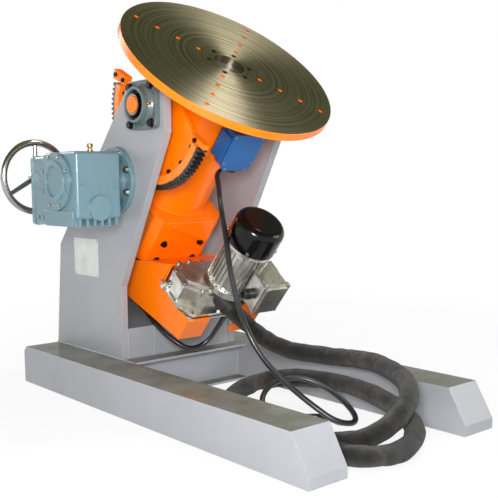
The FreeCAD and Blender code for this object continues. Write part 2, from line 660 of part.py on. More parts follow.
def drive_gear(name, teeth, height, first):
    gear = toothed(name, disc(3 * (teeth / 2 + 1),
                              "worm_shaft_radius" if teeth == 28 else "hand_shaft_radius"),
                   18, 3, teeth, 0.4, first, teeth, None,
                   (value_of(mid), S["drive_rear"] + 30 - S["axis_reach"], value_of(height)), TO_Y)
    gear.Label = name
    PARTS[name] = gear
    return gear


# sketch y points down on these two: the 28-tooth gear has a tooth towards the other, which has a gap there
drive_gear("worm_gear", 28, worm_height, -90 + 180 / 28)
drive_gear("hand_gear", 35, hand_height, 90)
part("hand_shaft", rod((mid, "drive_rear + 26", hand_height), "y", "hand_shaft_radius",
                       "wheel_depth - drive_rear + 14 - 26"))
spokes = []
hub_at = (mid, "wheel_depth", hand_height)
for angle in (90, 210, 330):
    bar = cone((0, 0, 0), "x", 9, 7, "wheel_radius - wheel_rim - 4")
    bar.Placement = FreeCAD.Placement(V(value_of(mid), S["wheel_depth"], value_of(hand_height)),
                                      FreeCAD.Rotation(V(0, 1, 0), -angle) * FreeCAD.Rotation(V(0, 1, 0), 90))
    spokes.append(bar)
rim_ring = ring(hub_at, "y", "wheel_radius - wheel_rim", "wheel_rim")
hub = rod((mid, "wheel_depth - 18", hand_height), "y", "wheel_hub", 30)
part("handwheel", cut(fuse([rim_ring, hub] + spokes),
                      [rod((mid, "wheel_depth - 20", hand_height), "y", "hand_shaft_radius", 40)]))

# ---------------------------------------------------------------- the tilting body, drawn level about the tilt axis
column = cut(rod((0, 0, "-column_foot"), "z", "column_radius", "column_foot + column_top"),
             [rod((0, 0, "-column_foot - 1"), "z", "column_radius - column_wall", "column_foot + column_top + 2")])
carriers = [cut(rod((0, 0, z), "z", "column_radius - column_wall", 34), [rod((0, 0, z + " - 1"), "z", 62, 40)])
            for z in ("column_top - 38", "-column_foot + 2")]
part("tilt_column", fuse([column] + carriers), tilted=True)

head = prism("z", "-head_bottom", [
    ("-head_half", "-head_front + 46"), ("-head_half + 46", "-head_front"), ("head_half - 46", "-head_front"),
    ("head_half", "-head_front + 46"), ("head_half", "head_rear - 30"), ("head_half - 30", "head_rear"),
    ("-head_half + 30", "head_rear"), ("-head_half", "head_rear - 30")], "head_bottom + head_top")
part("cross_head", cut(head, [rod((0, 0, "-head_bottom - 1"), "z", "column_radius", "head_bottom + head_top + 2")]),
     tilted=True)

trunnions = []
for side in (-1, 1):
    start = "-trunnion_end" if side < 0 else "trunnion_inner"
    trunnions.append(fuse([
        bevelled(rod((start, 0, 0), "x", "trunnion_radius", "trunnion_end - trunnion_inner"), 2, lambda e: True),
        rod(("-trunnion_inner - trunnion_flange_thick" if side < 0 else "trunnion_inner", 0, 0), "x",
            "trunnion_flange", "trunnion_flange_thick")]))
part("trunnion_shafts", gather(trunnions), tilted=True)

# the web of the sector, in the frame of the machine
sweep = [low_end + (high_end - low_end) * k / 24 for k in range(25)]
web_points = [(S["sector_inner"] * math.cos(math.radians(a)), S["sector_inner"] * math.sin(math.radians(a)))
              for a in sweep]
web_points += [(96 * math.cos(math.radians(a)), 96 * math.sin(math.radians(a)))
               for a in (high_end + 40, high_end + 96, low_end - 40)]
web_sketch = prism("x", "-head_half - web_thick", [(round(y, 4), round(z + S["trunnion_height"], 4))
                                                  for y, z in web_points], "web_thick")
web_trim = rod(("-head_half - web_thick - 1", 0, "trunnion_height"), "x", "trunnion_flange", "web_thick + 2")
rim_room = cut(rod(("-head_half - web_thick - 1", 0, "trunnion_height"), "x", 300, "web_thick + 2"),
               [rod(("-head_half - web_thick - 2", 0, "trunnion_height"), "x", "sector_inner", "web_thick + 4")])
part("tilt_sector_web", cut(web_sketch, [web_trim, rim_room]))

# stops at the two ends of the rim, and the screws that hold web, rim and stops together
stops = []
comb = block(("-head_half - sector_width + 2", 196, -12), ("sector_width - 4", 70, 30))
comb_cuts = [block(("-head_half - sector_width + 1", 200 + 12 * k, 6), ("sector_width", 5, 14)) for k in range(6)]
comb = cut(comb, comb_cuts)
strip = block(("-head_half - sector_width + 6", 190, -8), ("sector_width - 12", 72, 16))
for piece, angle in ((comb, high_end - 90 + 5.2), (strip, low_end - 90 - 2.6)):
    holder = gather([piece])
    holder.Placement = FreeCAD.Placement(V(0, 0, S["trunnion_height"]), FreeCAD.Rotation(V(1, 0, 0), angle + 90))
    stops.append(holder)
part("sector_stops", gather(stops))
rows = []
for k in range(9):
    a = math.radians(low_end + 6 + (high_end - low_end - 12) * k / 8)
    r = S["sector_inner"] - 10
    rows.append(capscrew(("-head_half - web_thick", r * math.cos(a), S["trunnion_height"] + r * math.sin(a)), "x",
                         7, 6, 4, 10, flip=-1))
for y, a in ((204, high_end + 6), (252, high_end + 6), (216, low_end - 2.6)):
    t = math.radians(a)
    off = 6 if a > 0 else 0
    rows.append(capscrew(("-head_half - sector_width + 2" if a > 0 else "-head_half - sector_width + 6",
                          y * math.cos(t) + off * -math.sin(t) * 0, S["trunnion_height"] + y * math.sin(t)), "x",
                         7, 6, 4, 12, flip=-1))
part("sector_screws", gather(rows))

# the box under the column: a shell with a flange on top, open in front below its bolted plate
skin = [("-box_half", "-box_front + 25"), ("-box_half + 25", "-box_front"), ("box_half - 25", "-box_front"),
        ("box_half", "-box_front + 25"), ("box_half", "box_rear"), ("-box_half", "box_rear")]
room = [("-box_half + plate", "-box_front + 25 + plate / 2"), ("-box_half + 25 + plate / 2", "-box_front + plate"),
        ("box_half - 25 - plate / 2", "-box_front + plate"), ("box_half - plate", "-box_front + 25 + plate / 2"),
        ("box_half - plate", "box_rear - plate"), ("-box_half + plate", "box_rear - plate")]
box = cut(prism("z", "-box_foot", skin, "box_foot - column_foot - plate"),
          [prism("z", "-box_foot - 1", room, "box_foot - column_foot"),
           block(("-box_half - 1", "-box_front - 1", "-box_foot - 1"),
                 ("box_half * 2 + 2", 42, "box_foot - cover_start + 1"))])
roof = cut(prism("z", "-column_foot - plate", skin, "plate"),
           [rod((0, 0, "-column_foot - plate - 1"), "z", 70, "plate + 2")])
part("upper_box", fuse([box, roof]), tilted=True)
front = block(("-box_half + 32", "-box_front - 5", "-cover_start"),
              ("box_half * 2 - 64", 5, "cover_start - column_foot - 6"))
bar = prism("y", "-box_front - 9", [(-71, -362), (-60, -352), (96, -422), (96, -436)], 4)
part("front_plate", fuse([bevelled(front, 2, along("x")), bar]), tilted=True)
fixings = []
for x in (-75, 75):
    for z in (-432, -506):
        fixings.append(hexbolt((x, "-box_front - 5", z), "y", 17, 8, 6, 16, flip=-1))
part("front_plate_bolts", gather(fixings), tilted=True)

# the arms under the box: side plates, a sloping top, a rear guard and the front flanges
line = lambda q: -637 + 0.839 * q
near = [("45", line(-45)), ("-gm_rear", "-spine"), ("-gm_rear", "-arm_top"), ("-arm_front", "-arm_top"),
        ("-arm_front", "-arm_foot"), (-183, -642), (0, -690)]
far = [("45", line(-45)), ("-gm_rear", "-spine"), ("-arm_front - 10", "-far_top"), ("-arm_front", "-arm_foot"),
       (-183, -642), (0, -690)]
flanges = [block(("-arm_half", "-arm_front - plate", "-arm_foot"), ("arm_width", "plate", "arm_foot - arm_top")),
           block(("arm_half - arm_width", "-arm_front - plate", "-arm_foot"),
                 ("arm_width", "plate", "arm_foot - far_top"))]
part("side_plate_left", fuse([prism("x", "-arm_half", near, "plate"), flanges[0]]), tilted=True)
part("side_plate_right", fuse([prism("x", "arm_half - plate", far, "plate"), flanges[1]]), tilted=True)
closers = [(prism("x", "-arm_half + plate", [
    ("-box_front - 10", line(165) - 2), ("-gm_rear", "-spine"), ("-gm_rear", "-spine - plate - 2"),
    ("-box_front - 10", line(165) - 12)], "arm_half * 2 - plate * 2"))]
closers.append(prism("x", "-arm_half + plate", [
    (-183, -642), (0, -690), (45, -675), (42, -667), (0, -681), (-181, -634)], "arm_half * 2 - plate * 2"))
part("arm_plates", gather(closers), tilted=True)
shelf = cut(block(("-arm_half + plate", "-arm_front", "-arm_top - plate"), ("arm_half * 2 - plate * 2", 160, "plate")),
            [rod(("-gm_output_x", "-gm_output_q", "-arm_top - plate - 1"), "z", 46, "plate + 2"),
             block((62, "-arm_front - 1", "-arm_top - plate - 1"), (60, 66, "plate + 2"))])
bracket = (fuse([block((96, "-arm_front + 2", "-arm_top"), (8, 112, 86)),
                            block((84, "-arm_front + 2", "-arm_top"), (20, 112, 8))]))
part("arm_shelf", fuse([shelf, bracket]), tilted=True)

# ---------------------------------------------------------------- spindle, bearings and belt
races = []
for z in ("column_top - 34", "-column_foot + 6"):
    body = cut(rod((0, 0, z), "z", 62, 26), [rod((0, 0, z + " - 1"), "z", "spindle_radius + running_gap", 40)])
    races.append(cut(body, [cut(rod((0, 0, z + " + 24"), "z", 57, 3), [rod((0, 0, z + " + 23"), "z", 46, 5)])]))
part("spindle_bearings", gather(races), tilted=True)
top = "table_top - table_thick"
hub = rod((0, 0, top + " - hub_thick"), "z", "hub_radius", "hub_thick")
quill = rod((0, 0, "-spindle_foot"), "z", "spindle_radius", "spindle_foot + table_top - table_thick")
tail = rod((0, 0, "-spindle_foot - 12"), "z", 20, 14)
pulley_low = "-belt_level - belt_width / 2"
spindle = fuse([hub, quill, tail])
sink = rod((0, 0, top + " - 6"), "z", "table_bore", 10)
part("spindle", cut(spindle, [sink]), tilted=True)
wheel = cut(rod((0, 0, pulley_low), "z", "pulley_radius", "belt_width"),
            [rod((0, 0, pulley_low + " - 1"), "z", "spindle_radius", "belt_width + 2"),
             cut(rod((0, 0, pulley_low + " + 16"), "z", 92, 8), [rod((0, 0, pulley_low + " + 15"), "z", 56, 10)])])
part("spindle_pulley", wheel, tilted=True)
drive_at = ("-gm_output_x", "-gm_output_q")
part("drive_pulley", fuse([rod(drive_at + (pulley_low,), "z", "drive_pulley_radius", "belt_width"),
                           rod(drive_at + ("-gm_bottom + 10",), "z", 12, 20),
                           rod(drive_at + (pulley_low + " + 2",), "z", 12,
                               "belt_level + belt_width / 2 - gm_bottom + 12")]), tilted=True)
big, small, clear, thick = S["pulley_radius"], S["drive_pulley_radius"], 0.3, 5.0
dx, dy = -S["gm_output_x"], -S["gm_output_q"]
reach = math.hypot(dx, dy)


def belt_body(grow, depth, low):
    """The flat figure of both pulleys and the tangent band between them."""
    a, b = big + grow, small + grow
    beta = math.acos((a - b) / reach)
    base = math.atan2(dy, dx)
    pts = []
    for r, cx, cy, t in ((a, 0, 0, beta), (b, dx, dy, beta), (b, dx, dy, -beta), (a, 0, 0, -beta)):
        pts.append((round(cx + r * math.cos(base + t), 4), round(cy + r * math.sin(base + t), 4)))
    return fuse([rod((0, 0, low), "z", a, depth), rod((dx, dy, low), "z", b, depth), prism("z", low, pts, depth)])


low = value_of("-belt_level - belt_width / 2")
part("drive_belt", cut(belt_body(clear + thick, S["belt_width"] - 2, low + 1),
                       [belt_body(clear, S["belt_width"] + 4, low - 1)]), tilted=True)

# ---------------------------------------------------------------- table
plate_body = bevelled(rod((0, 0, top), "z", "table_radius", "table_thick"), 1.5, lambda e: True)
tools = [rod((0, 0, top + " - 1"), "z", "table_bore", "table_thick + 2")]
for r in (70, 135, 200, 265, 330):
    tools.append(cut(rod((0, 0, "table_top - 0.8"), "z", r, 2),
                     [rod((0, 0, "table_top - 1"), "z", f"{r} - groove_width", 3)]))
for k in range(4):
    for arm in range(4):
        a = math.radians(45 + 90 * arm)
        tools.append(rod((f"(hole_first + hole_pitch * {k}) * {math.cos(a):.9f}",
                          f"(hole_first + hole_pitch * {k}) * {math.sin(a):.9f}", top + " - 1"),
                         "z", "hole_radius", "table_thick + 2"))
for k in range(6):
    a = math.radians(-15 + 60 * k)
    at = (f"hub_screw_ring * {math.cos(a):.6f}", f"hub_screw_ring * {math.sin(a):.6f}")
    tools.append(rod(at + ("table_top - 9",), "z", 9, 10))
    tools.append(rod(at + (top + " - 1",), "z", 5, "table_thick + 2"))
tools.append(rod((0, "-locating_ring", top + " - 1"), "z", 4, "table_thick + 2"))
part("table_plate", cut(plate_body, tools), tilted=True)
screws = []
for k in range(6):
    a = math.radians(-15 + 60 * k)
    screws.append(capscrew((70 * math.cos(a), 70 * math.sin(a), S["table_top"] - 9), "z", 8, 8, 5, 24, flip=1))
part("table_screws", gather(screws), tilted=True)

# ---------------------------------------------------------------- gearmotor
body = prism("z", "-gm_bottom", [
    ("-gm_left", "-gm_rear - 30"), ("-gm_left + 30", "-gm_rear"), ("gm_right - 30", "-gm_rear"),
    ("gm_right", "-gm_rear - 30"), ("gm_right", "-gm_front + 10"), ("gm_right - 10", "-gm_front"),
    ("-gm_left + 70", "-gm_front"), ("-gm_left", "-gm_front + 52")], "gm_bottom - gm_top - 8")
body = rounded(body, 6, along("z", 40))
foot = prism("z", "-gm_bottom", [
    ("-gm_left - 4", "-gm_rear - 2"), ("gm_right + 4", "-gm_rear - 2"), ("gm_right + 4", "-arm_front + 2"),
    ("-gm_left + 34", "-arm_front + 2"), ("-gm_left - 4", "-gm_front + 26")], 10)
ear = fuse([rod(("-gm_left - 6", "-gm_rear - 32", "-gm_bottom + 6"), "z", 13, 18),
            block(("-gm_left - 6", "-gm_rear - 45", "-gm_bottom + 6"), (20, 26, 18))])
throat = rod((0, "-motor_q", "-gm_top - 10"), "z", 62, 12)
keyhole = rod(drive_at + ("-gm_bottom - 1",), "z", "12 + running_gap", 32)
part("gm_housing", cut(fuse([body, foot, ear, throat]),
                       [keyhole, rod((0, "-motor_q", "-gm_top - 30"), "z", 34, 40)]), tilted=True)
lid = prism("z", "-gm_top - 8", [
    ("-gm_left - 6", "-gm_rear - 34"), ("-gm_left + 26", "-gm_rear - 4"), (-40, "-gm_rear - 4"),
    (-8, "-gm_rear - 34"), (-64, -392), (-64, "-gm_front + 6"), ("-gm_left + 72", "-gm_front + 6"),
    ("-gm_left - 6", "-gm_front + 60")], 8)
crown = prism("z", "-gm_top", [
    ("-gm_left + 14", "-gm_rear - 42"), ("-gm_left + 36", "-gm_rear - 20"), (-50, "-gm_rear - 20"),
    (-30, "-gm_rear - 40"), (-76, -384), (-76, "-gm_front + 24"), ("-gm_left + 78", "-gm_front + 24"),
    ("-gm_left + 14", "-gm_front + 66")], 7)
part("gm_cover", fuse([bevelled(lid, 2, along("x")), bevelled(crown, 4, lambda e: e.BoundBox.ZMin > -S["gm_top"] + 6)]),
     tilted=True)
screws = []
for x, q in ((-152, 340), (-124, 309), (-82, 306), (-40, 312), (-74, 436), (-104, 436), (-150, 396)):
    screws.append(hexbolt((x, -q, "-gm_top"), "z", 11, 5, 4, 20, flip=1))
screws.append(hexbolt(("-gm_left - 6", "-gm_rear - 32", "-gm_bottom + 24"), "z", 13, 6, 5, 14, flip=1))
for x, q in ((-126, 452), (60, 460), (-20, 461)):
    screws.append(hexbolt((x, -q, "-gm_bottom + 10"), "z", 13, 6, 4, 9, flip=1))
motor_screws = screws

at = (0, "-motor_q")
shell = [rod(at + ("-motor_foot - 8",), "z", "motor_radius", "motor_foot + 8 - motor_head"),
         rod(at + ("-gm_top + 2",), "z", "motor_radius + fin_depth", "gm_top - 2 - motor_foot"),
         rod(at + ("-motor_head - 12",), "z", "cowl_radius - 2.8", 20)]
fins = []
for k in range(30):
    fin = new("Part::Box")
    fin.Length, fin.Width = 1.0, 3.0
    drive(fin, "Length", "fin_depth + 4")
    drive(fin, "Height", "motor_foot - motor_head - 22")
    a = 12 * k + 6
    c, s = math.cos(math.radians(a)), math.sin(math.radians(a))
    start = S["motor_radius"] - 4
    fin.Placement = FreeCAD.Placement(V(start * c + 1.5 * s, -S["motor_q"] + start * s - 1.5 * c,
                                        -S["motor_foot"] + 4), FreeCAD.Rotation(V(0, 0, 1), a))
    fins.append(fin)
pad = block((-8, "-motor_q - motor_radius - 18", -342), (92, 44, 104))
cavity = rod(at + ("-gm_top + 1",), "z", 50, "gm_top - 1 - motor_head - 8")
part("motor_body", cut(fuse(shell + fins + [pad]), [
    cavity, rod(at + ("-gm_top",), "z", "14 + running_gap", "gm_top - motor_head + 20")]), tilted=True)
dome = rounded(rod(at + ("-motor_head",), "z", "cowl_radius", "motor_head - cowl_top"), 26,
               lambda e: e.BoundBox.ZMin > -S["cowl_top"] - 1)
core = rounded(rod(at + ("-motor_head - 1",), "z", "cowl_radius - 2.5", "motor_head - cowl_top - 1.5"), 24,
               lambda e: e.BoundBox.ZMin > -S["cowl_top"] - 4)
grille = []
for r, many in ((10, 6), (19, 10), (28, 16), (37, 20)):
    for k in range(many):
        a = 2 * math.pi * k / many
        grille.append(rod((r * math.cos(a), -S["motor_q"] + r * math.sin(a), "-cowl_top - 6"), "z", 2.2, 10))
part("fan_cowl", cut(dome, [core] + grille), tilted=True)
rim_screws = []
for k in range(4):
    a = math.radians(45 + 90 * k)
    for_head = rod((0, 0, 0), "x", 5.5, 3)
    for_foot = rod((-8, 0, 0), "x", 2.5, 9)
    screw = fuse([for_head, for_foot])
    r = S["cowl_radius"]
    screw.Placement = FreeCAD.Placement(V(r * math.cos(a), -S["motor_q"] + r * math.sin(a), -S["motor_head"] + 9),
                                        FreeCAD.Rotation(V(0, 0, 1), 45 + 90 * k))
    rim_screws.append(screw)
motor_screws += rim_screws
rotor = [rod(at + ("-gm_top - 26",), "z", 14, "gm_top + 26 - motor_head + 40"),
         rod(at + (-352,), "z", 38, 110), rod(at + (-178,), "z", 24, 22)]
for k in range(8):
    blade = new("Part::Box")
    blade.Length, blade.Width, blade.Height = 34, 2, 34
    blade.Placement = FreeCAD.Placement(V(20 * math.cos(k * math.pi / 4), -S["motor_q"] + 20 * math.sin(k * math.pi / 4),
                                          -176), FreeCAD.Rotation(V(0, 0, 1), 45 * k))
    rotor.append(blade)
part("motor_rotor", fuse(rotor), tilted=True)

# terminal box, its lid and gland
case = rounded(block((-12, "-motor_q - motor_radius - 18 - 52", -348), (98, 52, 110)), 8, along("y"))
part("terminal_box", cut(case, [block((0, "-motor_q - motor_radius - 18 - 53", -336), (74, 44, 86))]), tilted=True)
lid = rounded(block((-16, "-motor_q - motor_radius - 18 - 64", -352), (106, 12, 118)), 10, along("y"))
lid_crown = bevelled(block((-6, "-motor_q - motor_radius - 18 - 70", -342), (86, 7, 98)), 4, along("y"))
part("terminal_lid", fuse([lid, lid_crown]), tilted=True)
screws = []
for x in (-9, 83):
    for z in (-345, -241):
        screws.append(capscrew((x, "-motor_q - motor_radius - 18 - 64", z), "y", 4, 3, 2.5, 16, flip=-1))
part("motor_screws", gather(motor_screws + screws), tilted=True)
gy = "-motor_q - motor_radius - 44"
glands = [cut(fuse([rod((-20, gy, -300), "x", 15, 8), rod((-32, gy, -300), "x", 17, 12),
                                 rod((-46, gy, -300), "x", 13, 16)]),
                           [rod((-47, gy, -300), "x", 9, 14)])]

# ---------------------------------------------------------------- current collector box on the front of the column
plate = cut(fuse([block((-40, -141, -70), (132, 5, 96)), block((-20, -137, -60), (76, 11, 70))]),
            [rod((0, 0, -80), "z", "column_radius", 120)])
part("collector_bracket", fuse([plate, block((-42, -190, -62), (5, 54, 88))]), tilted=True)
case = prism("y", -191, [(-18, -90), (70, -90), (85, -70), (85, 40), (-33, 40), (-33, -70)], 50)
part("collector_box", rounded(case, 3, along("y")), tilted=True)
lid = prism("y", -195, [(-21, -93), (73, -93), (88, -71), (88, 43), (-36, 43), (-36, -71)], 4)
part("collector_lid", lid, tilted=True)
glands.append(cut(fuse([rod((24, -170, -104), "x", 12, 14), rod((36, -170, -104), "x", 14, 12),
                        block((38, -182, -104), (22, 24, 14))]), [rod((23, -170, -104), "x", 7.5, 10)]))
part("label_plate", block(("-leg_inner - 1.5", 305, 388), (1.5, 158, 127)))


# ---------------------------------------------------------------- cords: straight runs joined by tangent arcs
def tube(name, diameter, points):
    """A round cord along a polyline whose corners are rounded by tangent arcs."""
    stops = [V(*p) for p in points]
    stops = [p + V(0, -S["axis_reach"], 0) for p in stops]
    edges, last = [], stops[0]
    lengths = [a.distanceToPoint(b) for a, b in zip(stops, stops[1:])]
    for a, b, c, near, far in zip(stops, stops[1:], stops[2:], lengths, lengths[1:]):
        into, out = (b - a).normalize(), (c - b).normalize()
        half = into.getAngle(out) / 2
        back = 0.45 * min(near, far)
        radius = back / math.tan(half)
        first, third = b - into * back, b + out * back
        inward = (out - into).normalize()
        middle = b + inward * (radius / math.cos(half) - radius)
        edges.append(Part.makeLine(last, first))
        edges.append(Part.Arc(first, middle, third).toShape())
        print(f"{name}: bend radius {radius:.0f}")
        last = third
    edges.append(Part.makeLine(last, stops[-1]))
    path = Part.Wire(edges)
    start = (stops[1] - stops[0]).normalize()
    rim = Part.Wire([Part.makeCircle(S[diameter] / 2, stops[0], start)])
    shape = path.makePipeShell([rim], True, False)
    obj = doc.addObject("Part::Feature", name)
    obj.Shape = shape
    obj.Label = name
    PARTS[name] = obj
    print(f"{name}: length {path.Length:.0f}, volume ratio "
          f"{shape.Volume / (math.pi * S[diameter] ** 2 / 4 * path.Length):.4f}")
    return obj


HOSE = [(-3, -101, 303.8), (97, -156, 177), (188, -335, 158), (198, -560, 176), (100, -765, 135),
        (-95, -775, 45), (-197, -605, 30), (-197, -395, 30), (-125, -205, 46), (60, -170, 80),
        (168, -335, 92), (165, -550, 88), (105, -755, 58), (-60, -850, 31), (-195, -795, 29)]
EARTH = [(24, -63.3, 744), (-32, -75, 738), (-68, -132, 685), (-72, -150, 605), (-100, -205, 530),
        (-115, -235, 455), (-121, -275, 358), (-128, -330, 270), (-101, -372, 190), (-50, -415, 120),
        (-2, -467, 62), (30, -528, 20), (84, -556, 10), (127, -512, 26), (128, -430, 72), (85, -350, 110),
        (10, -305, 110), (-62, -305, 68), (-85, -365, 20), (-30, -405, 9), (40, -400, 9), (78, -450, 9),
        (62, -505, 9)]
LINK = [(40, -28, 274), (39, 14, 224), (12, 48, 166), (-45, 58, 151), (-85, 82, 178), (-116, 146, 226),
        (-120, 226, 290)]
tube("hose", "hose", HOSE)
tube("earth_cable", "earth_cable", EARTH)
tube("link_cable", "link_cable", LINK)

# the three fittings that the lower ends of the cords butt against, in the level frame
heading = V(0.587, -0.725, -0.3615)
socket = rod((0, 0, 0), "z", 28, 64)
socket.Placement = FreeCAD.Placement(V(-3, -482, -417) - heading * 64.4, FreeCAD.Rotation(V(0, 0, 1), heading))
collar = rod((0, 0, 0), "z", 30.5, 12)
collar.Placement = FreeCAD.Placement(V(-3, -482, -417) - heading * 16.4, FreeCAD.Rotation(V(0, 0, 1), heading))
part("hose_socket", cut(fuse([socket, collar]), [block((-140, "-gm_front", -470), (240, 140, 200)),
                                                 block((-140, -470, -470), (240, 30, 22.5)),
                                                 rod((0, "-motor_q", -376), "z", "motor_radius + fin_depth", 200)]),
     tilted=True)
glands.append(fuse([rod((40, -445, -478), "z", 14, 9), rod((40, -445, -486.6), "z", 12, 9)]))
glands.append(fuse([block((-142, -205, -648), (34, 20, 24)), rod((-120, -239.6, -637.8), "y", 12, 35),
                    rod((-120, -220, -637.8), "y", 14, 10)]))
part("cable_glands", gather(glands), tilted=True)


def bored(target, tool):
    """Cuts one finished sub-part out of another: screw holes, notches and mating faces."""
    obj = new("Part::Cut")
    obj.Base, obj.Tool = PARTS[target], PARTS[tool]
    PARTS[target].Label = target + "_blank"
    obj.Label = target
    PARTS[target] = obj


for tool, targets in {
        "front_plate_bolts": ["front_plate", "upper_box", "arm_plates"],
        "oil_fittings": ["bearing_units", "drive_housing"],
        "drive_screws": ["drive_cover", "drive_housing", "drive_input_lid", "upright_left"],
        "motor_screws": ["fan_cowl", "gm_cover", "gm_housing", "motor_body", "terminal_box", "terminal_lid",
                         "hose_socket"],
        "sector_screws": ["sector_stops", "tilt_sector_web"], "table_screws": ["spindle"],
        "tilt_sector_web": ["sector_stops"], "gm_housing": ["hose_socket"]}.items():
    for target in targets:
        bored(target, tool)

# ---------------------------------------------------------------- check and write
doc.recompute()
broken = [o.Name for o in doc.Objects if "Invalid" in o.State or "Error" in o.State]
if broken:
    raise SystemExit(f"objects that failed: {broken}")
os.makedirs("parts", exist_ok=True)
for name, obj in PARTS.items():
    if obj.Shape.isNull() or not obj.Shape.isValid():
        raise SystemExit(f"bad shape: {name}")
    obj.Shape.exportStep(f"parts/{name}.step")
print(f"{len(PARTS)} sub-parts, {len(doc.Objects)} objects")
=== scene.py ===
# %% [markdown]
# A welding positioner turns and tips heavy work for the welder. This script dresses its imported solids:
# cords that lie on the floor, weld beads, small fittings, and one finish for each kind of surface. The
# solids are already in place and in metres, so nothing here moves them; it only adds to them and paints
# them.

# %% Start
import json
import math

import bmesh
import bpy
from mathutils import Matrix, Vector, noise
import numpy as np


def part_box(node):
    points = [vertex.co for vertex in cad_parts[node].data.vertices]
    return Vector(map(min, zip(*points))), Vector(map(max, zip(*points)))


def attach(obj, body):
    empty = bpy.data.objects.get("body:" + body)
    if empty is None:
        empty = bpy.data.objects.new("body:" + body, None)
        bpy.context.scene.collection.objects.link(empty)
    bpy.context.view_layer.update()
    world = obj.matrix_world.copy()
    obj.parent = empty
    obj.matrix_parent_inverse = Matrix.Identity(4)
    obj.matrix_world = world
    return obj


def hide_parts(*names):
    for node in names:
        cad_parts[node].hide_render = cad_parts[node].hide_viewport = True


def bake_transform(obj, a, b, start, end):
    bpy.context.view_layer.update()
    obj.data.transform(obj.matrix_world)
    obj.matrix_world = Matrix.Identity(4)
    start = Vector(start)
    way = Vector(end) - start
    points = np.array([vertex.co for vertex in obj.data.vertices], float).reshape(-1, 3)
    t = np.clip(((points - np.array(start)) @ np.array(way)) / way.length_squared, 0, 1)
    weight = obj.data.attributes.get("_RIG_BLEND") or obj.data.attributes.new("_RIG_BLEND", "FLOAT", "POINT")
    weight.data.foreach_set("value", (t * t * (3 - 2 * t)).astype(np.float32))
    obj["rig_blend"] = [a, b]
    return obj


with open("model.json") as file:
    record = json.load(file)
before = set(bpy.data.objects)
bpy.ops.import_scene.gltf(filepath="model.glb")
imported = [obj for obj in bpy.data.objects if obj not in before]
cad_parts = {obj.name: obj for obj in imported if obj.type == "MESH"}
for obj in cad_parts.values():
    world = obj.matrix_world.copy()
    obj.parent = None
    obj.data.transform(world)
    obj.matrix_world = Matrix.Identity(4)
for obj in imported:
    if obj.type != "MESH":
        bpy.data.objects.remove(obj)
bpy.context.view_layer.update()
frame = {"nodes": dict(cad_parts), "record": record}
nodes = frame["nodes"]

# %% [markdown]
# The camera stands low at the front left corner, a little above the height of the gearbox, and looks
# slightly down. Its place is written as three directions (right, up and back), because that keeps the
# small roll of a hand-held camera.

# %% Camera
def camera_turn(yaw, dip, roll):
    y, p, r = (math.radians(v) for v in (yaw, dip, roll))
    back = Vector((math.sin(y) * math.cos(p), -math.cos(y) * math.cos(p), math.sin(p)))
    level = Vector((math.cos(y), math.sin(y), 0))
    above = back.cross(level)
    right = level * math.cos(r) + above * math.sin(r)
    up = above * math.cos(r) - level * math.sin(r)
    return Matrix((right, up, back)).transposed().to_4x4()


view = bpy.data.objects.new("view_camera", bpy.data.cameras.new("view_camera"))
bpy.context.scene.collection.objects.link(view)
view.matrix_world = Matrix.Translation((-1.6708, -2.2593, 0.7132)) @ camera_turn(-40.09, 6.46, -0.61)
view.data.sensor_width, view.data.lens = 36, 60.5
view.data.shift_x, view.data.shift_y = 0.020, 0.048
bpy.context.scene.camera = view
print("camera", [round(c, 2) for c in view.location])

# %% [markdown]
# The tilting part leans 40 degrees. Sizes on it are easiest to read level: across, out to the front,
# and along the column. This helper turns such a place into the machine's own frame.

# %% Places on the leaning part
LEAN = math.radians(40)
AXIS_FORWARD = 132
TILT_AXIS = Vector((0, -AXIS_FORWARD / 1000, 0.933))
COLUMN_UP = Vector((0, -math.sin(LEAN), math.cos(LEAN)))
COLUMN_FRONT = Vector((0, -math.cos(LEAN), -math.sin(LEAN)))
ACROSS = Vector((1, 0, 0))


def leaning(x, front, along):
    """A place on the leaning part, from millimetres across, forward and along the column."""
    return TILT_AXIS + (ACROSS * x + COLUMN_FRONT * front + COLUMN_UP * along) / 1000


def upright_at(x, y, z):
    """A place on the standing part, from millimetres across, behind the tilt axis and up."""
    return Vector((x, y - AXIS_FORWARD, z)) / 1000


print("table middle", [round(c, 3) for c in leaning(0, 0, 167)])

# %% [markdown]
# Small pieces are made in a bmesh and dropped into one object each. A lathe covers most of them: a half
# outline is spun once round its axis, as on a real lathe, and the seam is merged so that the skin is
# closed.

# %% Shaping helpers
def lathe(outline, steps=32):
    """A turned shape about +Z. The (radius, height) pairs are in millimetres, from axis to axis."""
    bm = bmesh.new()
    verts = [bm.verts.new((r / 1000, 0, h / 1000)) for r, h in outline]
    for a, b in zip(verts, verts[1:]):
        bm.edges.new((a, b))
    bmesh.ops.spin(bm, geom=bm.verts[:] + bm.edges[:], cent=(0, 0, 0), axis=(0, 0, 1),
                   angle=2 * math.pi, steps=steps, use_merge=True)
    bmesh.ops.remove_doubles(bm, verts=bm.verts[:], dist=1e-6)
    bmesh.ops.recalc_face_normals(bm, faces=bm.faces[:])
    return bm


def slab(size, bevel=0.5):
    """A rounded block about the origin, sizes in millimetres."""
    bm = bmesh.new()
    bmesh.ops.create_cube(bm, size=1)
    bmesh.ops.scale(bm, vec=[s / 1000 for s in size], verts=bm.verts[:])
    bmesh.ops.bevel(bm, geom=bm.edges[:], offset=bevel / 1000, offset_type="OFFSET", segments=3,
                    profile=0.5, affect="EDGES", material=-1)
    return bm


def stand(bm, at, heading=(0, 0, 1), turn=0.0):
    """Stands a shape at a place with its +Z along a heading."""
    spin = Vector(heading).normalized().to_track_quat("Z", "Y").to_matrix().to_4x4()
    bmesh.ops.transform(bm, matrix=Matrix.Translation(at) @ spin @ Matrix.Rotation(turn, 4, "Z"),
                        verts=bm.verts[:])
    return bm


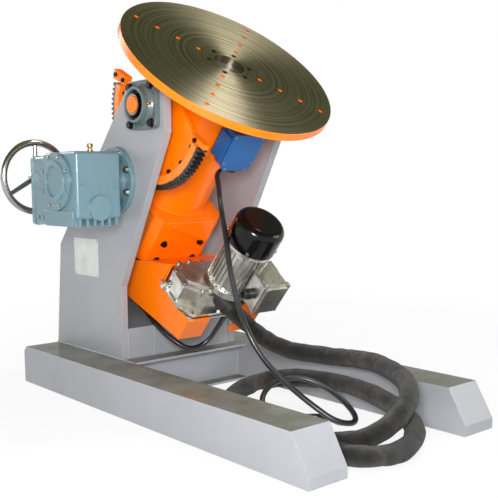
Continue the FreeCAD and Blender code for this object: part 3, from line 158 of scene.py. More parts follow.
def piece(name, shapes, body, slot, smooth=35):
    """One finished object from several shapes, riding on a body."""
    mesh = bpy.data.meshes.new(name)
    whole = bmesh.new()
    for bm in shapes:
        part = bpy.data.meshes.new("shape")
        bm.to_mesh(part)
        whole.from_mesh(part)
        bm.free()
        bpy.data.meshes.remove(part)
    whole.to_mesh(mesh)
    whole.free()
    mesh.shade_smooth()
    mesh.set_sharp_from_angle(angle=math.radians(smooth))
    obj = bpy.data.objects.new(name, mesh)
    bpy.context.scene.collection.objects.link(obj)
    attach(obj, body)
    ADDED.append((obj, slot))
    print(name, len(mesh.polygons), "faces")
    return obj


ADDED = []

# %% [markdown]
# Three cords hang from the machine. Each has one smooth line, a NURBS spline through a few control
# points, so that it bends like hose and cable do. The tube is made from that line by the curve's own
# bevel and then turned into a mesh, because a mesh can be wrinkled and can bend with the tilting frame.

# %% One line for each cord
def cord_line(name, points):
    """A curve of one open NURBS spline, with no thickness yet."""
    data = bpy.data.curves.new(name, "CURVE")
    data.dimensions = "3D"
    spline = data.splines.new("NURBS")
    spline.points.add(len(points) - 1)
    for p, (x, y, z) in zip(spline.points, points):
        p.co = (x, y, z, 1)
    spline.order_u = 3
    spline.use_endpoint_u = True
    data.resolution_u = 24
    data.use_fill_caps = True
    obj = bpy.data.objects.new(name + "_line", data)
    bpy.context.scene.collection.objects.link(obj)
    return obj


def run_of(line):
    """The points that a line passes through, in order, from its mesh without bevel."""
    mesh = bpy.data.meshes.new_from_object(line.evaluated_get(bpy.context.evaluated_depsgraph_get()))
    points = [v.co.copy() for v in mesh.vertices]
    bpy.data.meshes.remove(mesh)
    return points


def length_of(points):
    return sum((b - a).length for a, b in zip(points, points[1:]))


def cord_tube(name, points, diameter, around=12):
    """The tube of a cord as a mesh object, with the points of its middle line."""
    line = cord_line(name, points)
    path = run_of(line)
    line.data.bevel_depth = diameter / 2
    line.data.bevel_resolution = around // 2 - 2
    bpy.context.view_layer.update()
    mesh = bpy.data.meshes.new_from_object(line.evaluated_get(bpy.context.evaluated_depsgraph_get()))
    bpy.data.objects.remove(line)
    mesh.name = name
    mesh.shade_smooth()
    tube = bpy.data.objects.new(name + "_skin", mesh)
    bpy.context.scene.collection.objects.link(tube)
    print(name, f"{length_of(path):.3f} m,", len(mesh.polygons), "faces,",
          [u.name for u in mesh.uv_layers])
    return tube, path

# %% [markdown]
# The supply hose is a woven sleeve over a bundle of cables. It leaves the motor's socket, lies round
# once and a half between the legs, and ends in a connector behind the near leg. A full sleeve is not a
# perfect tube: it is a little flat, and it creases where it bends, so the skin moves in and out by
# smooth noise that is stronger at the bends.

# %% The hose and its creases
HOSE = [upright_at(*p) for p in ((-3, -101, 303.8), (97, -156, 177), (188, -335, 158), (198, -560, 176),
                                 (100, -765, 135), (-95, -775, 45), (-197, -605, 30), (-197, -395, 30),
                                 (-125, -205, 46), (60, -170, 80), (168, -335, 92), (165, -550, 88),
                                 (105, -750, 58), (0, -828, 36), (-100, -838, 30), (-172, -790, 30),
                                 (-191, -712, 30))]
HOSE_DIAMETER = 0.055
hose, hose_run = cord_tube("hose", HOSE, HOSE_DIAMETER, around=28)


def crease(tube, path, depth):
    """Wrinkles a tube's skin: long soft dents, and short folds across it where the line bends."""
    bends = []
    for i in range(len(path)):
        a, b, c = path[max(i - 6, 0)], path[i], path[min(i + 6, len(path) - 1)]
        bends.append((b - a).angle(c - b, 0.0))
    around = len(tube.data.vertices) // len(path)
    for v in tube.data.vertices:
        i = min(v.index // around, len(path) - 1)
        near = min(path[max(i - 2, 0):i + 3], key=lambda p: (p - v.co).length)
        out = (v.co - near).normalized()
        soft = noise.noise(v.co * 14) + 0.6 * noise.noise(v.co * 34)
        along = i * 0.17 + 2.6 * noise.noise(v.co * 17)
        here = max(0.0, min(1.0, 0.5 + 1.6 * noise.noise(path[i] * 9)))
        fold = -abs(math.sin(along)) ** 7 * here * (0.3 + min(1.0, bends[i] * 4))
        v.co += out * depth * (0.75 * soft + 0.9 * fold)
    tube.data.update()


crease(hose, hose_run, 0.0032)

# %% [markdown]
# The earth cable comes down from the blue collector box, loops loosely inside the hose and ends in a
# lug for the welding machine. The link cable hangs in a low bow from the gearmotor to the back of the
# lower arms.

# %% The two cables
EARTH = [upright_at(*p) for p in ((24, -63.3, 744), (-32, -75, 738), (-68, -132, 685), (-72, -150, 605),
                                  (-100, -205, 530), (-115, -235, 455), (-121, -275, 358),
                                  (-128, -330, 270), (-101, -372, 190), (-50, -415, 120),
                                  (-2, -467, 62), (30, -528, 20), (84, -556, 10), (127, -512, 26),
                                  (128, -430, 72), (85, -350, 110), (10, -305, 110), (-62, -305, 68),
                                  (-85, -365, 20), (-30, -405, 9), (40, -400, 9), (78, -450, 9),
                                  (62, -505, 9))]
LINK = [upright_at(*p) for p in (
    (40, -28, 274), (39, 14, 224), (12, 48, 166), (-45, 58, 151), (-85, 82, 178), (-116, 146, 226),
    (-120, 226, 290))]
CABLE_DIAMETER = 0.017
earth, earth_run = cord_tube("earth_cable", EARTH, CABLE_DIAMETER, around=16)
link, link_run = cord_tube("link_cable", LINK, CABLE_DIAMETER, around=16)

# %% [markdown]
# A cord never just stops. The hose ends in a clamped cuff with a round connector, the earth cable in a
# crimped lug, and each cable has a tapered boot where it leaves its housing, so that it can't be bent
# sharply there.

# %% Ends and boots
def heading_at(path, last=True):
    return (path[-1] - path[-8]).normalized() if last else (path[7] - path[0]).normalized()


away = heading_at(hose_run)
cuff = stand(lathe([(0, -46), (28, -46), (29, -43), (29, -38), (28, -36), (28, -20), (29, -18),
                    (29, -8), (29.6, -6), (29.6, 8), (28, 11), (25, 12), (25, 20), (23, 22), (0, 22)],
                   48), hose_run[-1], away)
hose_end = piece("hose_connector", [cuff], "base", "black_plastic")
tail = heading_at(earth_run)
barrel = stand(lathe([(0, -8), (7.6, -8), (8.2, -6), (8.2, 8), (6.6, 12), (0, 12)], 24), earth_run[-1],
               tail)
palm = slab((17, 3.4, 22), 1.2)
ring = stand(palm, earth_run[-1] + tail * 0.020 + Vector((0, 0, -0.001)), tail)
earth_lug = piece("earth_lug", [barrel, ring], "base", "brass_fitting")


def boot(run, radius, first, size=34):
    """A tapered, ribbed sleeve over the start or the end of a cable."""
    at, out = (run[0], heading_at(run, False)) if first else (run[-1], -heading_at(run))
    steps = [(radius + 3.4 - 2.6 * k / 6 - (0.7 if k % 2 else 0), size * k / 6) for k in range(7)]
    return stand(lathe([(0, 0)] + steps + [(radius + 0.2, size + 1), (0, size + 1)], 24), at, out)


piece("earth_boot", [boot(earth_run, 7, True)], "tilt_frame", "black_rubber")
piece("link_boots", [boot(link_run, 8.5, True, 30), boot(link_run, 8.5, False, 30)], "tilt_frame",
      "black_rubber")

# %% [markdown]
# The tops of the cords are fixed to the tilting frame. The hose and the earth cable lie on the floor
# lower down, and each of their skins blends from one to the other, so that it still meets its fitting
# when the table is tipped. The link cable rides on the tilting frame as a whole.

# %% Cords on their bodies
for tube, run, slot, size, end, stiff, lay, extra in (
        (hose, hose_run, "hose_cloth", HOSE_DIAMETER, "connector", "medium", "coiled", [hose_end]),
        (earth, earth_run, "black_rubber", CABLE_DIAMETER, "connector", "medium", "loose", [earth_lug]),
        (link, link_run, "black_rubber", CABLE_DIAMETER, "object", "medium", "hanging", [])):
    name = tube.name.replace("_skin", "")
    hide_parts(name)
    ADDED.append((tube, slot))
    if end == "object":
        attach(tube, "tilt_frame")
    else:
        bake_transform(tube, "tilt_frame", "base", start=run[0] + Vector((0, 0, -0.02)),
                 end=(run[0].x, run[0].y - 0.2, 0.03))

# %% [markdown]
# The stand is welded from plate, and the beads show at every joint. A bead is a round cord of metal
# with a ripple for each small pool the torch left, so it is a curve whose thickness goes up and down
# every few millimetres.

# %% Weld beads
def walk(points, step=0.0024):
    """Places along straight runs, a step apart."""
    out = []
    for a, b in zip(points, points[1:]):
        n = max(2, round((b - a).length / step))
        out += [a.lerp(b, k / n) for k in range(n)]
    return out + [points[-1]]


def bead(points, radius=3.4):
    """A rippled weld bead along some points, as a bmesh."""
    data = bpy.data.curves.new("bead", "CURVE")
    data.dimensions = "3D"
    spline = data.splines.new("POLY")
    spots = walk([Vector(p) for p in points])
    spline.points.add(len(spots) - 1)
    for k, (p, at) in enumerate(zip(spline.points, spots)):
        wander = Vector((noise.noise(at * 90), noise.noise(at * 97 + Vector((3, 1, 7))), 0)) * 0.0006
        p.co = (*(at + wander), 1)
        p.radius = 1 + 0.16 * math.cos(k * math.pi / 1.5) + 0.12 * noise.noise(at * 40)
    data.bevel_depth = radius / 1000
    data.bevel_resolution = 2
    data.use_fill_caps = True
    obj = bpy.data.objects.new("bead", data)
    bpy.context.scene.collection.objects.link(obj)
    mesh = bpy.data.meshes.new_from_object(obj.evaluated_get(bpy.context.evaluated_depsgraph_get()))
    bpy.data.objects.remove(obj)
    bm = bmesh.new()
    bm.from_mesh(mesh)
    bpy.data.meshes.remove(mesh)
    return bm


COLUMN_RADIUS = 131


def ring_of(along, radius, steps=72):
    """Points on a circle round the column."""
    return [leaning(radius * math.cos(math.radians(a)), radius * math.sin(math.radians(a)), along)
            for a in (360 * k / steps for k in range(steps + 1))]


# Where the beads run: the upright's two faces, the top of the deck and the front of the panel.
UPRIGHT_OUTER, UPRIGHT_INNER, DECK_TOP, PANEL_FRONT = 237, 212, 128.5, 170.5
foot = []
for side in (-1, 1):
    outer, inner = UPRIGHT_OUTER * side, UPRIGHT_INNER * side
    foot.append(bead([upright_at(outer, 172, DECK_TOP), upright_at(outer, 604, DECK_TOP)]))
    foot.append(bead([upright_at(inner, 181, DECK_TOP), upright_at(inner, 596, DECK_TOP)]))
    foot.append(bead([upright_at(outer - 2 * side, PANEL_FRONT, DECK_TOP),
                      upright_at(inner + 2 * side, PANEL_FRONT, DECK_TOP)]))
    foot.append(bead([upright_at(inner, PANEL_FRONT, 131), upright_at(inner, PANEL_FRONT, 226)], 2.6))
    foot.append(bead([upright_at(outer, 152.5, 10), upright_at(outer, 152.5, 118)], 3.2))
    foot.append(bead([upright_at(outer, 106, 128.2), upright_at(outer, 170, 128.2)], 2.4))
foot.append(bead([upright_at(-208, PANEL_FRONT, DECK_TOP), upright_at(208, PANEL_FRONT, DECK_TOP)],
                 3.0))
foot.append(bead([upright_at(-110, 170.6, 130), upright_at(-110, 170.6, 226)], 1.9))
piece("stand_welds", foot, "base", "grey_paint", 60)

frame_beads = [bead(ring_of(-334, COLUMN_RADIUS), 3.6), bead(ring_of(-101, COLUMN_RADIUS), 3.0),
               bead(ring_of(85, COLUMN_RADIUS), 3.0)]
for s in (-1, 1):
    frame_beads.append(bead([leaning(135.5 * s, 129, -345), leaning(135.5 * s, 129, -515)], 2.2))
    frame_beads.append(bead([leaning(110 * s, 155.5, -345), leaning(110 * s, 155.5, -515)], 2.0))
    frame_beads.append(bead([leaning(141 * s, 166, -498), leaning(141 * s, 298, -388)], 2.6))
    frame_beads.append(bead([leaning(141 * s, 302, -386), leaning(141 * s, 302, -452)], 2.4))
piece("frame_welds", frame_beads, "tilt_frame", "orange_paint", 60)

# %% [markdown]
# Small fittings that the solids leave out: the rivets of the rating plate, the oil plugs of the
# gearbox, the lid screws of the collector box, and a bare plate on the gearmotor.

# %% Rivets, plugs and plates
def dome(radius, height):
    return lathe([(0, -0.6), (radius, -0.6), (radius, 0), (radius * 0.85, height * 0.55),
                  (radius * 0.45, height * 0.92), (0, height)], 20)


def socket_plug(radius, height):
    """A recessed plug: a low drum with a hollow in its face."""
    return lathe([(0, -1), (radius, -1), (radius, height - 0.8), (radius - 0.8, height),
                  (radius * 0.55, height), (radius * 0.5, height * 0.3), (0, height * 0.3)], 24)


plate_low, plate_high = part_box("label_plate")
rivets = [stand(dome(2.6, 1.6), (plate_low.x, y, z), (-1, 0, 0))
          for y in (plate_low.y + 0.006, plate_high.y - 0.006)
          for z in (plate_low.z + 0.006, plate_high.z - 0.006)]
piece("label_rivets", rivets, "base", "steel")
plugs = [stand(socket_plug(8, 3.4), upright_at(x, 57.4, z), (0, -1, 0))
         for x, z in ((-430, 692), (-318, 692))]
piece("gearbox_plugs", plugs, "base", "teal_paint")
lid_screws = [stand(socket_plug(3.6, 2.6), leaning(x, 195, a), COLUMN_FRONT)
              for x, a in ((-29, 34), (81, 34), (-29, -64), (81, -64), (-14, -86), (66, -86))]
piece("collector_screws", lid_screws, "tilt_frame", "steel")
badge = stand(slab((62, 26, 1.2), 0.4), leaning(-6, 452.4, -428), COLUMN_FRONT)
piece("gearmotor_plate", [badge], "tilt_frame", "black_plastic")

# %% [markdown]
# Now the finishes. Several of them share an effect, so each effect is a node group that only puts out a
# mask or a normal: a soft edge with its rim of wear and painted highlight, uneven tone, dust and a
# painted reflection on what faces up, and the fine texture of the skin.

# %% Node helpers
def add(tree, kind, inputs=None, **settings):
    """A node with its settings, its values, and links from other sockets."""
    made = tree.nodes.new("ShaderNode" + kind)
    for key, value in settings.items():
        setattr(made, key, value)
    for key, value in (inputs or {}).items():
        if isinstance(value, bpy.types.NodeSocket):
            tree.links.new(value, made.inputs[key])
        else:
            made.inputs[key].default_value = value
    return made


def group(name, inputs, outputs):
    """An empty node group with named sockets, and its two ends."""
    tree = bpy.data.node_groups.new(name, "ShaderNodeTree")
    for way, sockets in (("INPUT", inputs), ("OUTPUT", outputs)):
        for label, kind, value in sockets:
            socket = tree.interface.new_socket(label, in_out=way, socket_type="NodeSocket" + kind)
            if value is not None and way == "INPUT":
                socket.default_value = value
    return tree, tree.nodes.new("NodeGroupInput"), tree.nodes.new("NodeGroupOutput")


def maths(tree, operation, a, b=0.0, clamp=False):
    made = add(tree, "Math", {0: a, 1: b}, operation=operation)
    made.use_clamp = clamp
    return made.outputs[0]


def spread(tree, value, low, high, out_low=0.0, out_high=1.0):
    """Stretches a value from one range to another, and stops at its ends."""
    return add(tree, "MapRange", {"Value": value, "From Min": low, "From Max": high, "To Min": out_low,
                                  "To Max": out_high}).outputs["Result"]


def blend_colour(tree, mask, a, b):
    made = add(tree, "Mix", data_type="RGBA")
    for socket, value in zip([made.inputs[0], made.inputs[6], made.inputs[7]], (mask, a, b)):
        if isinstance(value, bpy.types.NodeSocket):
            tree.links.new(value, socket)
        else:
            socket.default_value = value
    return made.outputs[2]


def object_place(tree):
    return add(tree, "TexCoord").outputs["Object"]


def grain(tree, scale, detail=3.0, rough=0.55):
    return add(tree, "TexNoise", {"Vector": object_place(tree), "Scale": scale, "Detail": detail,
                                  "Roughness": rough}).outputs["Fac"]


# %% [markdown]
# No plate edge is truly sharp. The Bevel node rounds the shading near each edge without touching the
# solid, and the difference from the true normal is a ready mask for a thin line along each edge. On the
# paints and bare metals that line is paler: partly wear where paint rubs off, partly a painted highlight.

# %% Soft edges
tree, start, end = group("soft_edge", [("Radius", "Float", 0.002), ("Wear", "Float", 0.5)],
                         [("Normal", "Vector", None), ("Mask", "Float", None)])
rounded = add(tree, "Bevel", {"Radius": start.outputs["Radius"]}, samples=4)
true = add(tree, "NewGeometry")
same = add(tree, "VectorMath", {0: rounded.outputs[0], 1: true.outputs["Normal"]},
           operation="DOT_PRODUCT")
rim = spread(tree, same.outputs["Value"], 0.995, 0.86)
broken = spread(tree, grain(tree, 46, 4), 0.42, 0.66)
# On the rating plate this mask is a worn edge; on the paints and bare metals it is also a painted highlight.
edge_wear_and_highlight_mask = maths(tree, "MULTIPLY", maths(tree, "MULTIPLY", rim, broken), start.outputs["Wear"], clamp=True)
tree.links.new(rounded.outputs[0], end.inputs["Normal"])
tree.links.new(edge_wear_and_highlight_mask, end.inputs["Mask"])
SOFT_EDGE = tree

# %% [markdown]
# No surface is one tone all over. What faces up is darker, partly from dust that lies there and partly
# as a painted reflection of the dark room above. Both effects are masks of soft noise, and each finish
# below decides what to do with them.

# %% Uneven tone, and dust with a painted reflection
tree, start, end = group("uneven_tone", [("Scale", "Float", 6.0), ("Contrast", "Float", 1.0)],
                         [("Mask", "Float", None)])
cloud = add(tree, "TexNoise", {"Vector": object_place(tree), "Scale": start.outputs["Scale"],
                               "Detail": 5.0, "Roughness": 0.6}).outputs["Fac"]
tree.links.new(maths(tree, "MULTIPLY", spread(tree, cloud, 0.35, 0.68), start.outputs["Contrast"]),
               end.inputs["Mask"])
UNEVEN_TONE = tree

tree, start, end = group("settled_dust", [("Amount", "Float", 0.6), ("Scale", "Float", 9.0)],
                         [("Mask", "Float", None)])
up = add(tree, "SeparateXYZ", {0: add(tree, "TexCoord").outputs["Normal"]}).outputs["Z"]
patchy = add(tree, "TexNoise", {"Vector": object_place(tree), "Scale": start.outputs["Scale"],
                                "Detail": 6.0, "Roughness": 0.65}).outputs["Fac"]
# What faces up gets the mask: real dust, and also a painted reflection of the dark room above.
lying = maths(tree, "MULTIPLY", spread(tree, up, 0.72, 0.97),
              spread(tree, patchy, 0.25, 0.6, 0.55, 1.0))
tree.links.new(maths(tree, "MULTIPLY", lying, start.outputs["Amount"], clamp=True), end.inputs["Mask"])
DUST_AND_PAINTED_REFLECTION = tree
print("shared effects:", [g.name for g in bpy.data.node_groups])

# %% [markdown]
# Sprayed paint has orange peel: a low, soft unevenness that breaks up reflections. Cast metal has a
# coarser, sandy skin. Both are a noise through a Bump node, so one group with two values covers them.

# %% Fine skin
tree, start, end = group("fine_skin", [("Scale", "Float", 300.0), ("Depth", "Float", 0.0002),
                                       ("Normal", "Vector", None)],
                         [("Normal", "Vector", None), ("Mask", "Float", None)])
pebble = add(tree, "TexNoise", {"Vector": object_place(tree), "Scale": start.outputs["Scale"],
                                "Detail": 3.0, "Roughness": 0.5}).outputs["Fac"]
bumped = add(tree, "Bump", {"Strength": 0.6, "Distance": start.outputs["Depth"], "Height": pebble,
                            "Normal": start.outputs["Normal"]})
tree.links.new(bumped.outputs[0], end.inputs["Normal"])
tree.links.new(pebble, end.inputs["Mask"])
FINE_SKIN = tree


def effect(tree, which, **values):
    made = tree.nodes.new("ShaderNodeGroup")
    made.node_tree = which
    for key, value in values.items():
        if isinstance(value, bpy.types.NodeSocket):
            tree.links.new(value, made.inputs[key])
        else:
            made.inputs[key].default_value = value
    return made.outputs


def new_finish(name, **constants):
    """A material whose own shader holds the values that are the same all over."""
    made = bpy.data.materials.new(name)
    made.use_nodes = True
    shader = made.node_tree.nodes["Principled BSDF"]
    for key, value in constants.items():
        shader.inputs[key.replace("_", " ")].default_value = value
    return made, made.node_tree, shader


def rgb(r, g, b):
    """A colour as mixed on a screen, 0 to 255, in linear light."""
    linear = (((c / 255 + 0.055) / 1.055) ** 2.4 if c > 10.3 else c / 255 / 12.92 for c in (r, g, b))
    return (*linear, 1.0)


FINISH = {}

# %% [markdown]
# The paints differ in colour, gloss and age, but a sprayed coat is built the same way each time: the
# colour with a slow change of tone, a paler edge that is partly wear and partly a painted highlight, a
# darker tone on what faces up that is partly dust and partly a painted reflection, and a clear shine
# from the coat on top.

# %% Paints
def paint(name, colour, darker, edge_wear_and_highlight_colour, dust_and_reflection_colour, gloss, wear, dust, peel=0.00016, edge=0.0022,
          coat=0.25, level=0.35):
    made, tree, shader = new_finish(name, Specular_IOR_Level=level, Coat_Weight=coat,
                                    Coat_Roughness=0.12)
    soft = effect(tree, SOFT_EDGE, Radius=edge, Wear=wear)
    tone = effect(tree, UNEVEN_TONE, Scale=3.4, Contrast=0.55)
    film = effect(tree, DUST_AND_PAINTED_REFLECTION, Amount=dust, Scale=7.0)
    skin = effect(tree, FINE_SKIN, Scale=260.0, Depth=peel, Normal=soft["Normal"])
    colours = blend_colour(tree, tone["Mask"], colour, darker)
    # The paler edge is partly wear and partly a painted highlight.
    colours = blend_colour(tree, soft["Mask"], colours, edge_wear_and_highlight_colour)
    # What faces up is darkened: partly dust, partly a painted reflection of the dark room above.
    colours = blend_colour(tree, film["Mask"], colours, dust_and_reflection_colour)
    rough = spread(tree, tone["Mask"], 0.0, 0.6, gloss, gloss + 0.1)
    rough = maths(tree, "ADD", rough, maths(tree, "MULTIPLY", film["Mask"], 0.35), clamp=True)
    tree.links.new(colours, shader.inputs["Base Color"])
    tree.links.new(rough, shader.inputs["Roughness"])
    tree.links.new(skin["Normal"], shader.inputs["Normal"])
    FINISH[name] = made
    print(name, "mixed")


# This dust colour also paints the darker reflection on the grey tops.
OLIVE_DUST_AND_REFLECTION = rgb(88, 89, 70)
ORANGE = rgb(255, 124, 0)
paint("grey_paint", rgb(156, 158, 163), rgb(143, 145, 149), rgb(205, 207, 212), OLIVE_DUST_AND_REFLECTION, 0.36, 0.75,
      0.9, coat=0.3)
paint("orange_paint", ORANGE, rgb(247, 108, 0), rgb(255, 160, 50), rgb(206, 108, 16), 0.3, 0.45, 0.25,
      coat=0.2, level=0.22)
paint("teal_paint", rgb(101, 133, 143), rgb(86, 117, 127), rgb(160, 186, 193), rgb(66, 78, 76), 0.24,
      0.7, 0.6, peel=0.0003, edge=0.0034, coat=0.4)
paint("unit_paint", rgb(92, 108, 108), rgb(74, 90, 91), rgb(160, 172, 170), rgb(60, 64, 56), 0.26, 0.7,
      0.5, peel=0.0004, edge=0.003)
paint("blue_paint", rgb(26, 90, 152), rgb(20, 78, 136), rgb(120, 156, 208), rgb(44, 66, 104), 0.34, 0.6,
      0.4, edge=0.0014, coat=0.1, level=0.25)
paint("black_paint", rgb(9, 9, 10), rgb(6, 6, 7), rgb(44, 44, 42), rgb(26, 26, 22), 0.09, 0.2, 0.12,
      peel=0.00006, edge=0.0016, coat=0.12, level=0.22)

# %% [markdown]
# Bare metals reflect what is round them, so their colour is the colour of the reflection, and the life
# is in the roughness. A turned part gets fine rings, a casting a sandy skin, and old steel some darker
# stain.

# %% Bare metals
def metal(name, colour, stain, rough, uneven, scale=180.0, depth=0.0002, edge=0.0012, stain_scale=9.0,
          **constants):
    made, tree, shader = new_finish(name, Metallic=1.0, **constants)
    soft = effect(tree, SOFT_EDGE, Radius=edge, Wear=0.4)
    tone = effect(tree, UNEVEN_TONE, Scale=stain_scale, Contrast=1.0)
    skin = effect(tree, FINE_SKIN, Scale=scale, Depth=depth, Normal=soft["Normal"])
    colours = blend_colour(tree, tone["Mask"], colour, stain)
    # The edge is half again as bright: partly wear, partly a painted highlight.
    colours = blend_colour(tree, soft["Mask"], colours,
                           tuple(min(1, c * 1.5) for c in colour[:3]) + (1.0,))
    tree.links.new(colours, shader.inputs["Base Color"])
    tree.links.new(spread(tree, tone["Mask"], 0.0, 1.0, rough, rough + uneven),
                   shader.inputs["Roughness"])
    tree.links.new(skin["Normal"], shader.inputs["Normal"])
    FINISH[name] = made
    print(name, "made")


metal("steel", rgb(178, 176, 170), rgb(138, 134, 124), 0.26, 0.2)
metal("black_steel", rgb(52, 50, 48), rgb(30, 29, 28), 0.3, 0.2, edge=0.0016)
metal("chrome_rim", rgb(186, 186, 184), rgb(138, 138, 130), 0.12, 0.12, depth=0.00005, edge=0.0006)
metal("cast_aluminium", rgb(226, 225, 220), rgb(164, 161, 150), 0.22, 0.2, scale=340.0, depth=0.0005,
      edge=0.0026, stain_scale=12.0)
metal("brass_fitting", rgb(192, 168, 118), rgb(130, 112, 76), 0.3, 0.2)
metal("greased_steel", rgb(40, 38, 34), rgb(18, 17, 15), 0.24, 0.3, depth=0.0008, scale=90.0,
      stain_scale=40.0)

# %% [markdown]
# Rubber and plastic are dark but never pure black: they have a broad, soft sheen and a film of dust
# that greys them.

# %% Rubber and plastic
def rubber(name, colour, pale, rough, scale, depth, coat=0.0):
    made, tree, shader = new_finish(name, Specular_IOR_Level=0.5, Coat_Weight=coat, Coat_Roughness=0.25)
    tone = effect(tree, UNEVEN_TONE, Scale=16.0, Contrast=0.8)
    soft = effect(tree, SOFT_EDGE, Radius=0.0008, Wear=0.3)
    skin = effect(tree, FINE_SKIN, Scale=scale, Depth=depth, Normal=soft["Normal"])
    tree.links.new(blend_colour(tree, tone["Mask"], colour, pale), shader.inputs["Base Color"])
    tree.links.new(spread(tree, tone["Mask"], 0.0, 1.0, rough, rough + 0.18),
                   shader.inputs["Roughness"])
    tree.links.new(skin["Normal"], shader.inputs["Normal"])
    FINISH[name] = made
    print(name, "moulded")


rubber("black_rubber", rgb(15, 16, 18), rgb(32, 34, 37), 0.3, 420.0, 0.0001, coat=0.25)
rubber("black_plastic", rgb(26, 26, 27), rgb(46, 45, 43), 0.42, 500.0, 0.0002)

# %% [markdown]
# The hose sleeve is a coarse textile: two sets of threads at right angles, running round and along the
# tube. Its own UV map follows the tube, so the weave bends with it. The noise that raises the folds also
# paints shade: the creases darker and the high folds paler. Brown workshop dust lies in patches.

# %% Woven sleeve
made, tree, shader = new_finish("hose_cloth", Specular_IOR_Level=0.25, Sheen_Weight=0.2,
                                Sheen_Roughness=0.5)
uv = add(tree, "SeparateXYZ", {0: add(tree, "TexCoord").outputs["UV"]})
THREADS_ALONG, THREADS_ROUND = 1150, 74
warp = maths(tree, "SINE", maths(tree, "MULTIPLY", uv.outputs["X"], 2 * math.pi * THREADS_ALONG))
weft = maths(tree, "SINE", maths(tree, "MULTIPLY", uv.outputs["Y"], 2 * math.pi * THREADS_ROUND))
threads = maths(tree, "MULTIPLY", warp, weft)
folds_and_crease_shade = grain(tree, 22, 5, 0.65)
height = maths(tree, "ADD", maths(tree, "MULTIPLY", threads, 0.15), maths(tree, "MULTIPLY", folds_and_crease_shade, 3.0))
bump = add(tree, "Bump", {"Strength": 0.9, "Distance": 0.0026, "Height": height})
dirt = spread(tree, grain(tree, 9, 6, 0.7), 0.52, 0.74)
patch = maths(tree, "MULTIPLY", dirt, spread(tree, grain(tree, 60, 3), 0.3, 0.7, 0.35, 1.0))
# Painted shade: darker in the creases, paler on the high folds.
colour = blend_colour(tree, spread(tree, folds_and_crease_shade, 0.3, 0.7), rgb(12, 12, 13), rgb(36, 35, 33))
colour = blend_colour(tree, patch, colour, rgb(96, 78, 58))
tree.links.new(colour, shader.inputs["Base Color"])
shader.inputs["Roughness"].default_value = 0.82
tree.links.new(bump.outputs[0], shader.inputs["Normal"])
FINISH["hose_cloth"] = made
print("hose_cloth woven")

# %% [markdown]
# The table face was turned on a lathe: thousands of fine rings that catch the light in a fan across the
# middle. The pattern needs the distance from the table's centre, so a Mapping node turns the
# coordinates level with the table. The rim and the underside are painted. Steel shows where a point
# lies near the face and inside the rim, or in the bore. The shader's tangent runs outward from the
# centre, so a lamp's reflection spreads into a fan.

# %% Turned table with a painted rim
TABLE_MIDDLE = leaning(0, 0, 167)
made, tree, shader = new_finish("table_finish", Anisotropic=0.85)
level = add(tree, "Mapping", {"Vector": object_place(tree), "Location": TABLE_MIDDLE,
                              "Rotation": (LEAN, 0, 0)}, vector_type="TEXTURE").outputs[0]
flat = add(tree, "VectorMath", {0: level, 1: (1, 1, 0)}, operation="MULTIPLY").outputs[0]
radius = add(tree, "VectorMath", {0: flat}, operation="LENGTH").outputs["Value"]
depth = add(tree, "SeparateXYZ", {0: level}).outputs["Z"]


def rings(scale, detail=2.0):
    return add(tree, "TexNoise", {"W": maths(tree, "MULTIPLY", radius, scale), "Scale": 1.0,
                                  "Detail": detail, "Roughness": 0.7},
               noise_dimensions="1D").outputs["Fac"]


fine, broad = rings(700.0, 3.0), rings(90.0)
bump = add(tree, "Bump", {"Strength": 1.0, "Distance": 0.0001, "Height": fine})
outward = add(tree, "VectorMath", {0: object_place(tree), 1: TABLE_MIDDLE},
              operation="SUBTRACT").outputs[0]
outward = add(tree, "VectorMath", {0: outward}, operation="NORMALIZE").outputs[0]
# The paint stops 2 mm below the face and 1 mm inside the rim, and the bore is bare.
PAINT_TOP, PAINT_EDGE, BORE_EDGE, BLUR = -0.002, 0.349, 0.059, 0.0002
face = maths(tree, "MULTIPLY", spread(tree, depth, PAINT_TOP - BLUR, PAINT_TOP + BLUR),
             spread(tree, radius, PAINT_EDGE + BLUR, PAINT_EDGE - BLUR))
inside = spread(tree, radius, BORE_EDGE + 0.001, BORE_EDGE - 0.001)
bare = maths(tree, "MAXIMUM", face, inside)
stain = spread(tree, grain(tree, 5.0, 5, 0.6), 0.38, 0.66)
steel_colour = blend_colour(tree, stain, rgb(130, 119, 94), rgb(86, 79, 55))
steel_colour = blend_colour(tree, spread(tree, broad, 0.35, 0.7), steel_colour, rgb(150, 141, 118))
steel_colour = blend_colour(tree, spread(tree, fine, 0.62, 0.72), steel_colour, rgb(190, 186, 168))
tree.links.new(blend_colour(tree, bare, ORANGE, steel_colour), shader.inputs["Base Color"])
tree.links.new(bare, shader.inputs["Metallic"])
tree.links.new(spread(tree, maths(tree, "ADD", maths(tree, "MULTIPLY", stain, 0.1),
                                  maths(tree, "MULTIPLY", fine, 0.1)), 0.0, 0.2, 0.26, 0.4),
               shader.inputs["Roughness"])
tree.links.new(bump.outputs[0], shader.inputs["Normal"])
tree.links.new(outward, shader.inputs["Tangent"])
TABLE_FINISH = made
print("table finish, centre", [round(c, 3) for c in TABLE_MIDDLE])

# %% [markdown]
# The toothed rim is orange where it was sprayed and black where grease is thrown from the pinion. The
# bearing insert is bright where it grips the shaft and dark where the rubber seal sits. Both change
# with distance from the tilt axis. The rating plate is a pale sheet, a little darker where its edges
# have worn.

# %% Greased rim and sealed bearing
def from_axis(tree):
    away = add(tree, "VectorMath", {0: object_place(tree), 1: TILT_AXIS},
               operation="SUBTRACT").outputs[0]
    flat = add(tree, "VectorMath", {0: away, 1: (0, 1, 1)}, operation="MULTIPLY").outputs[0]
    return add(tree, "VectorMath", {0: flat}, operation="LENGTH").outputs["Value"]


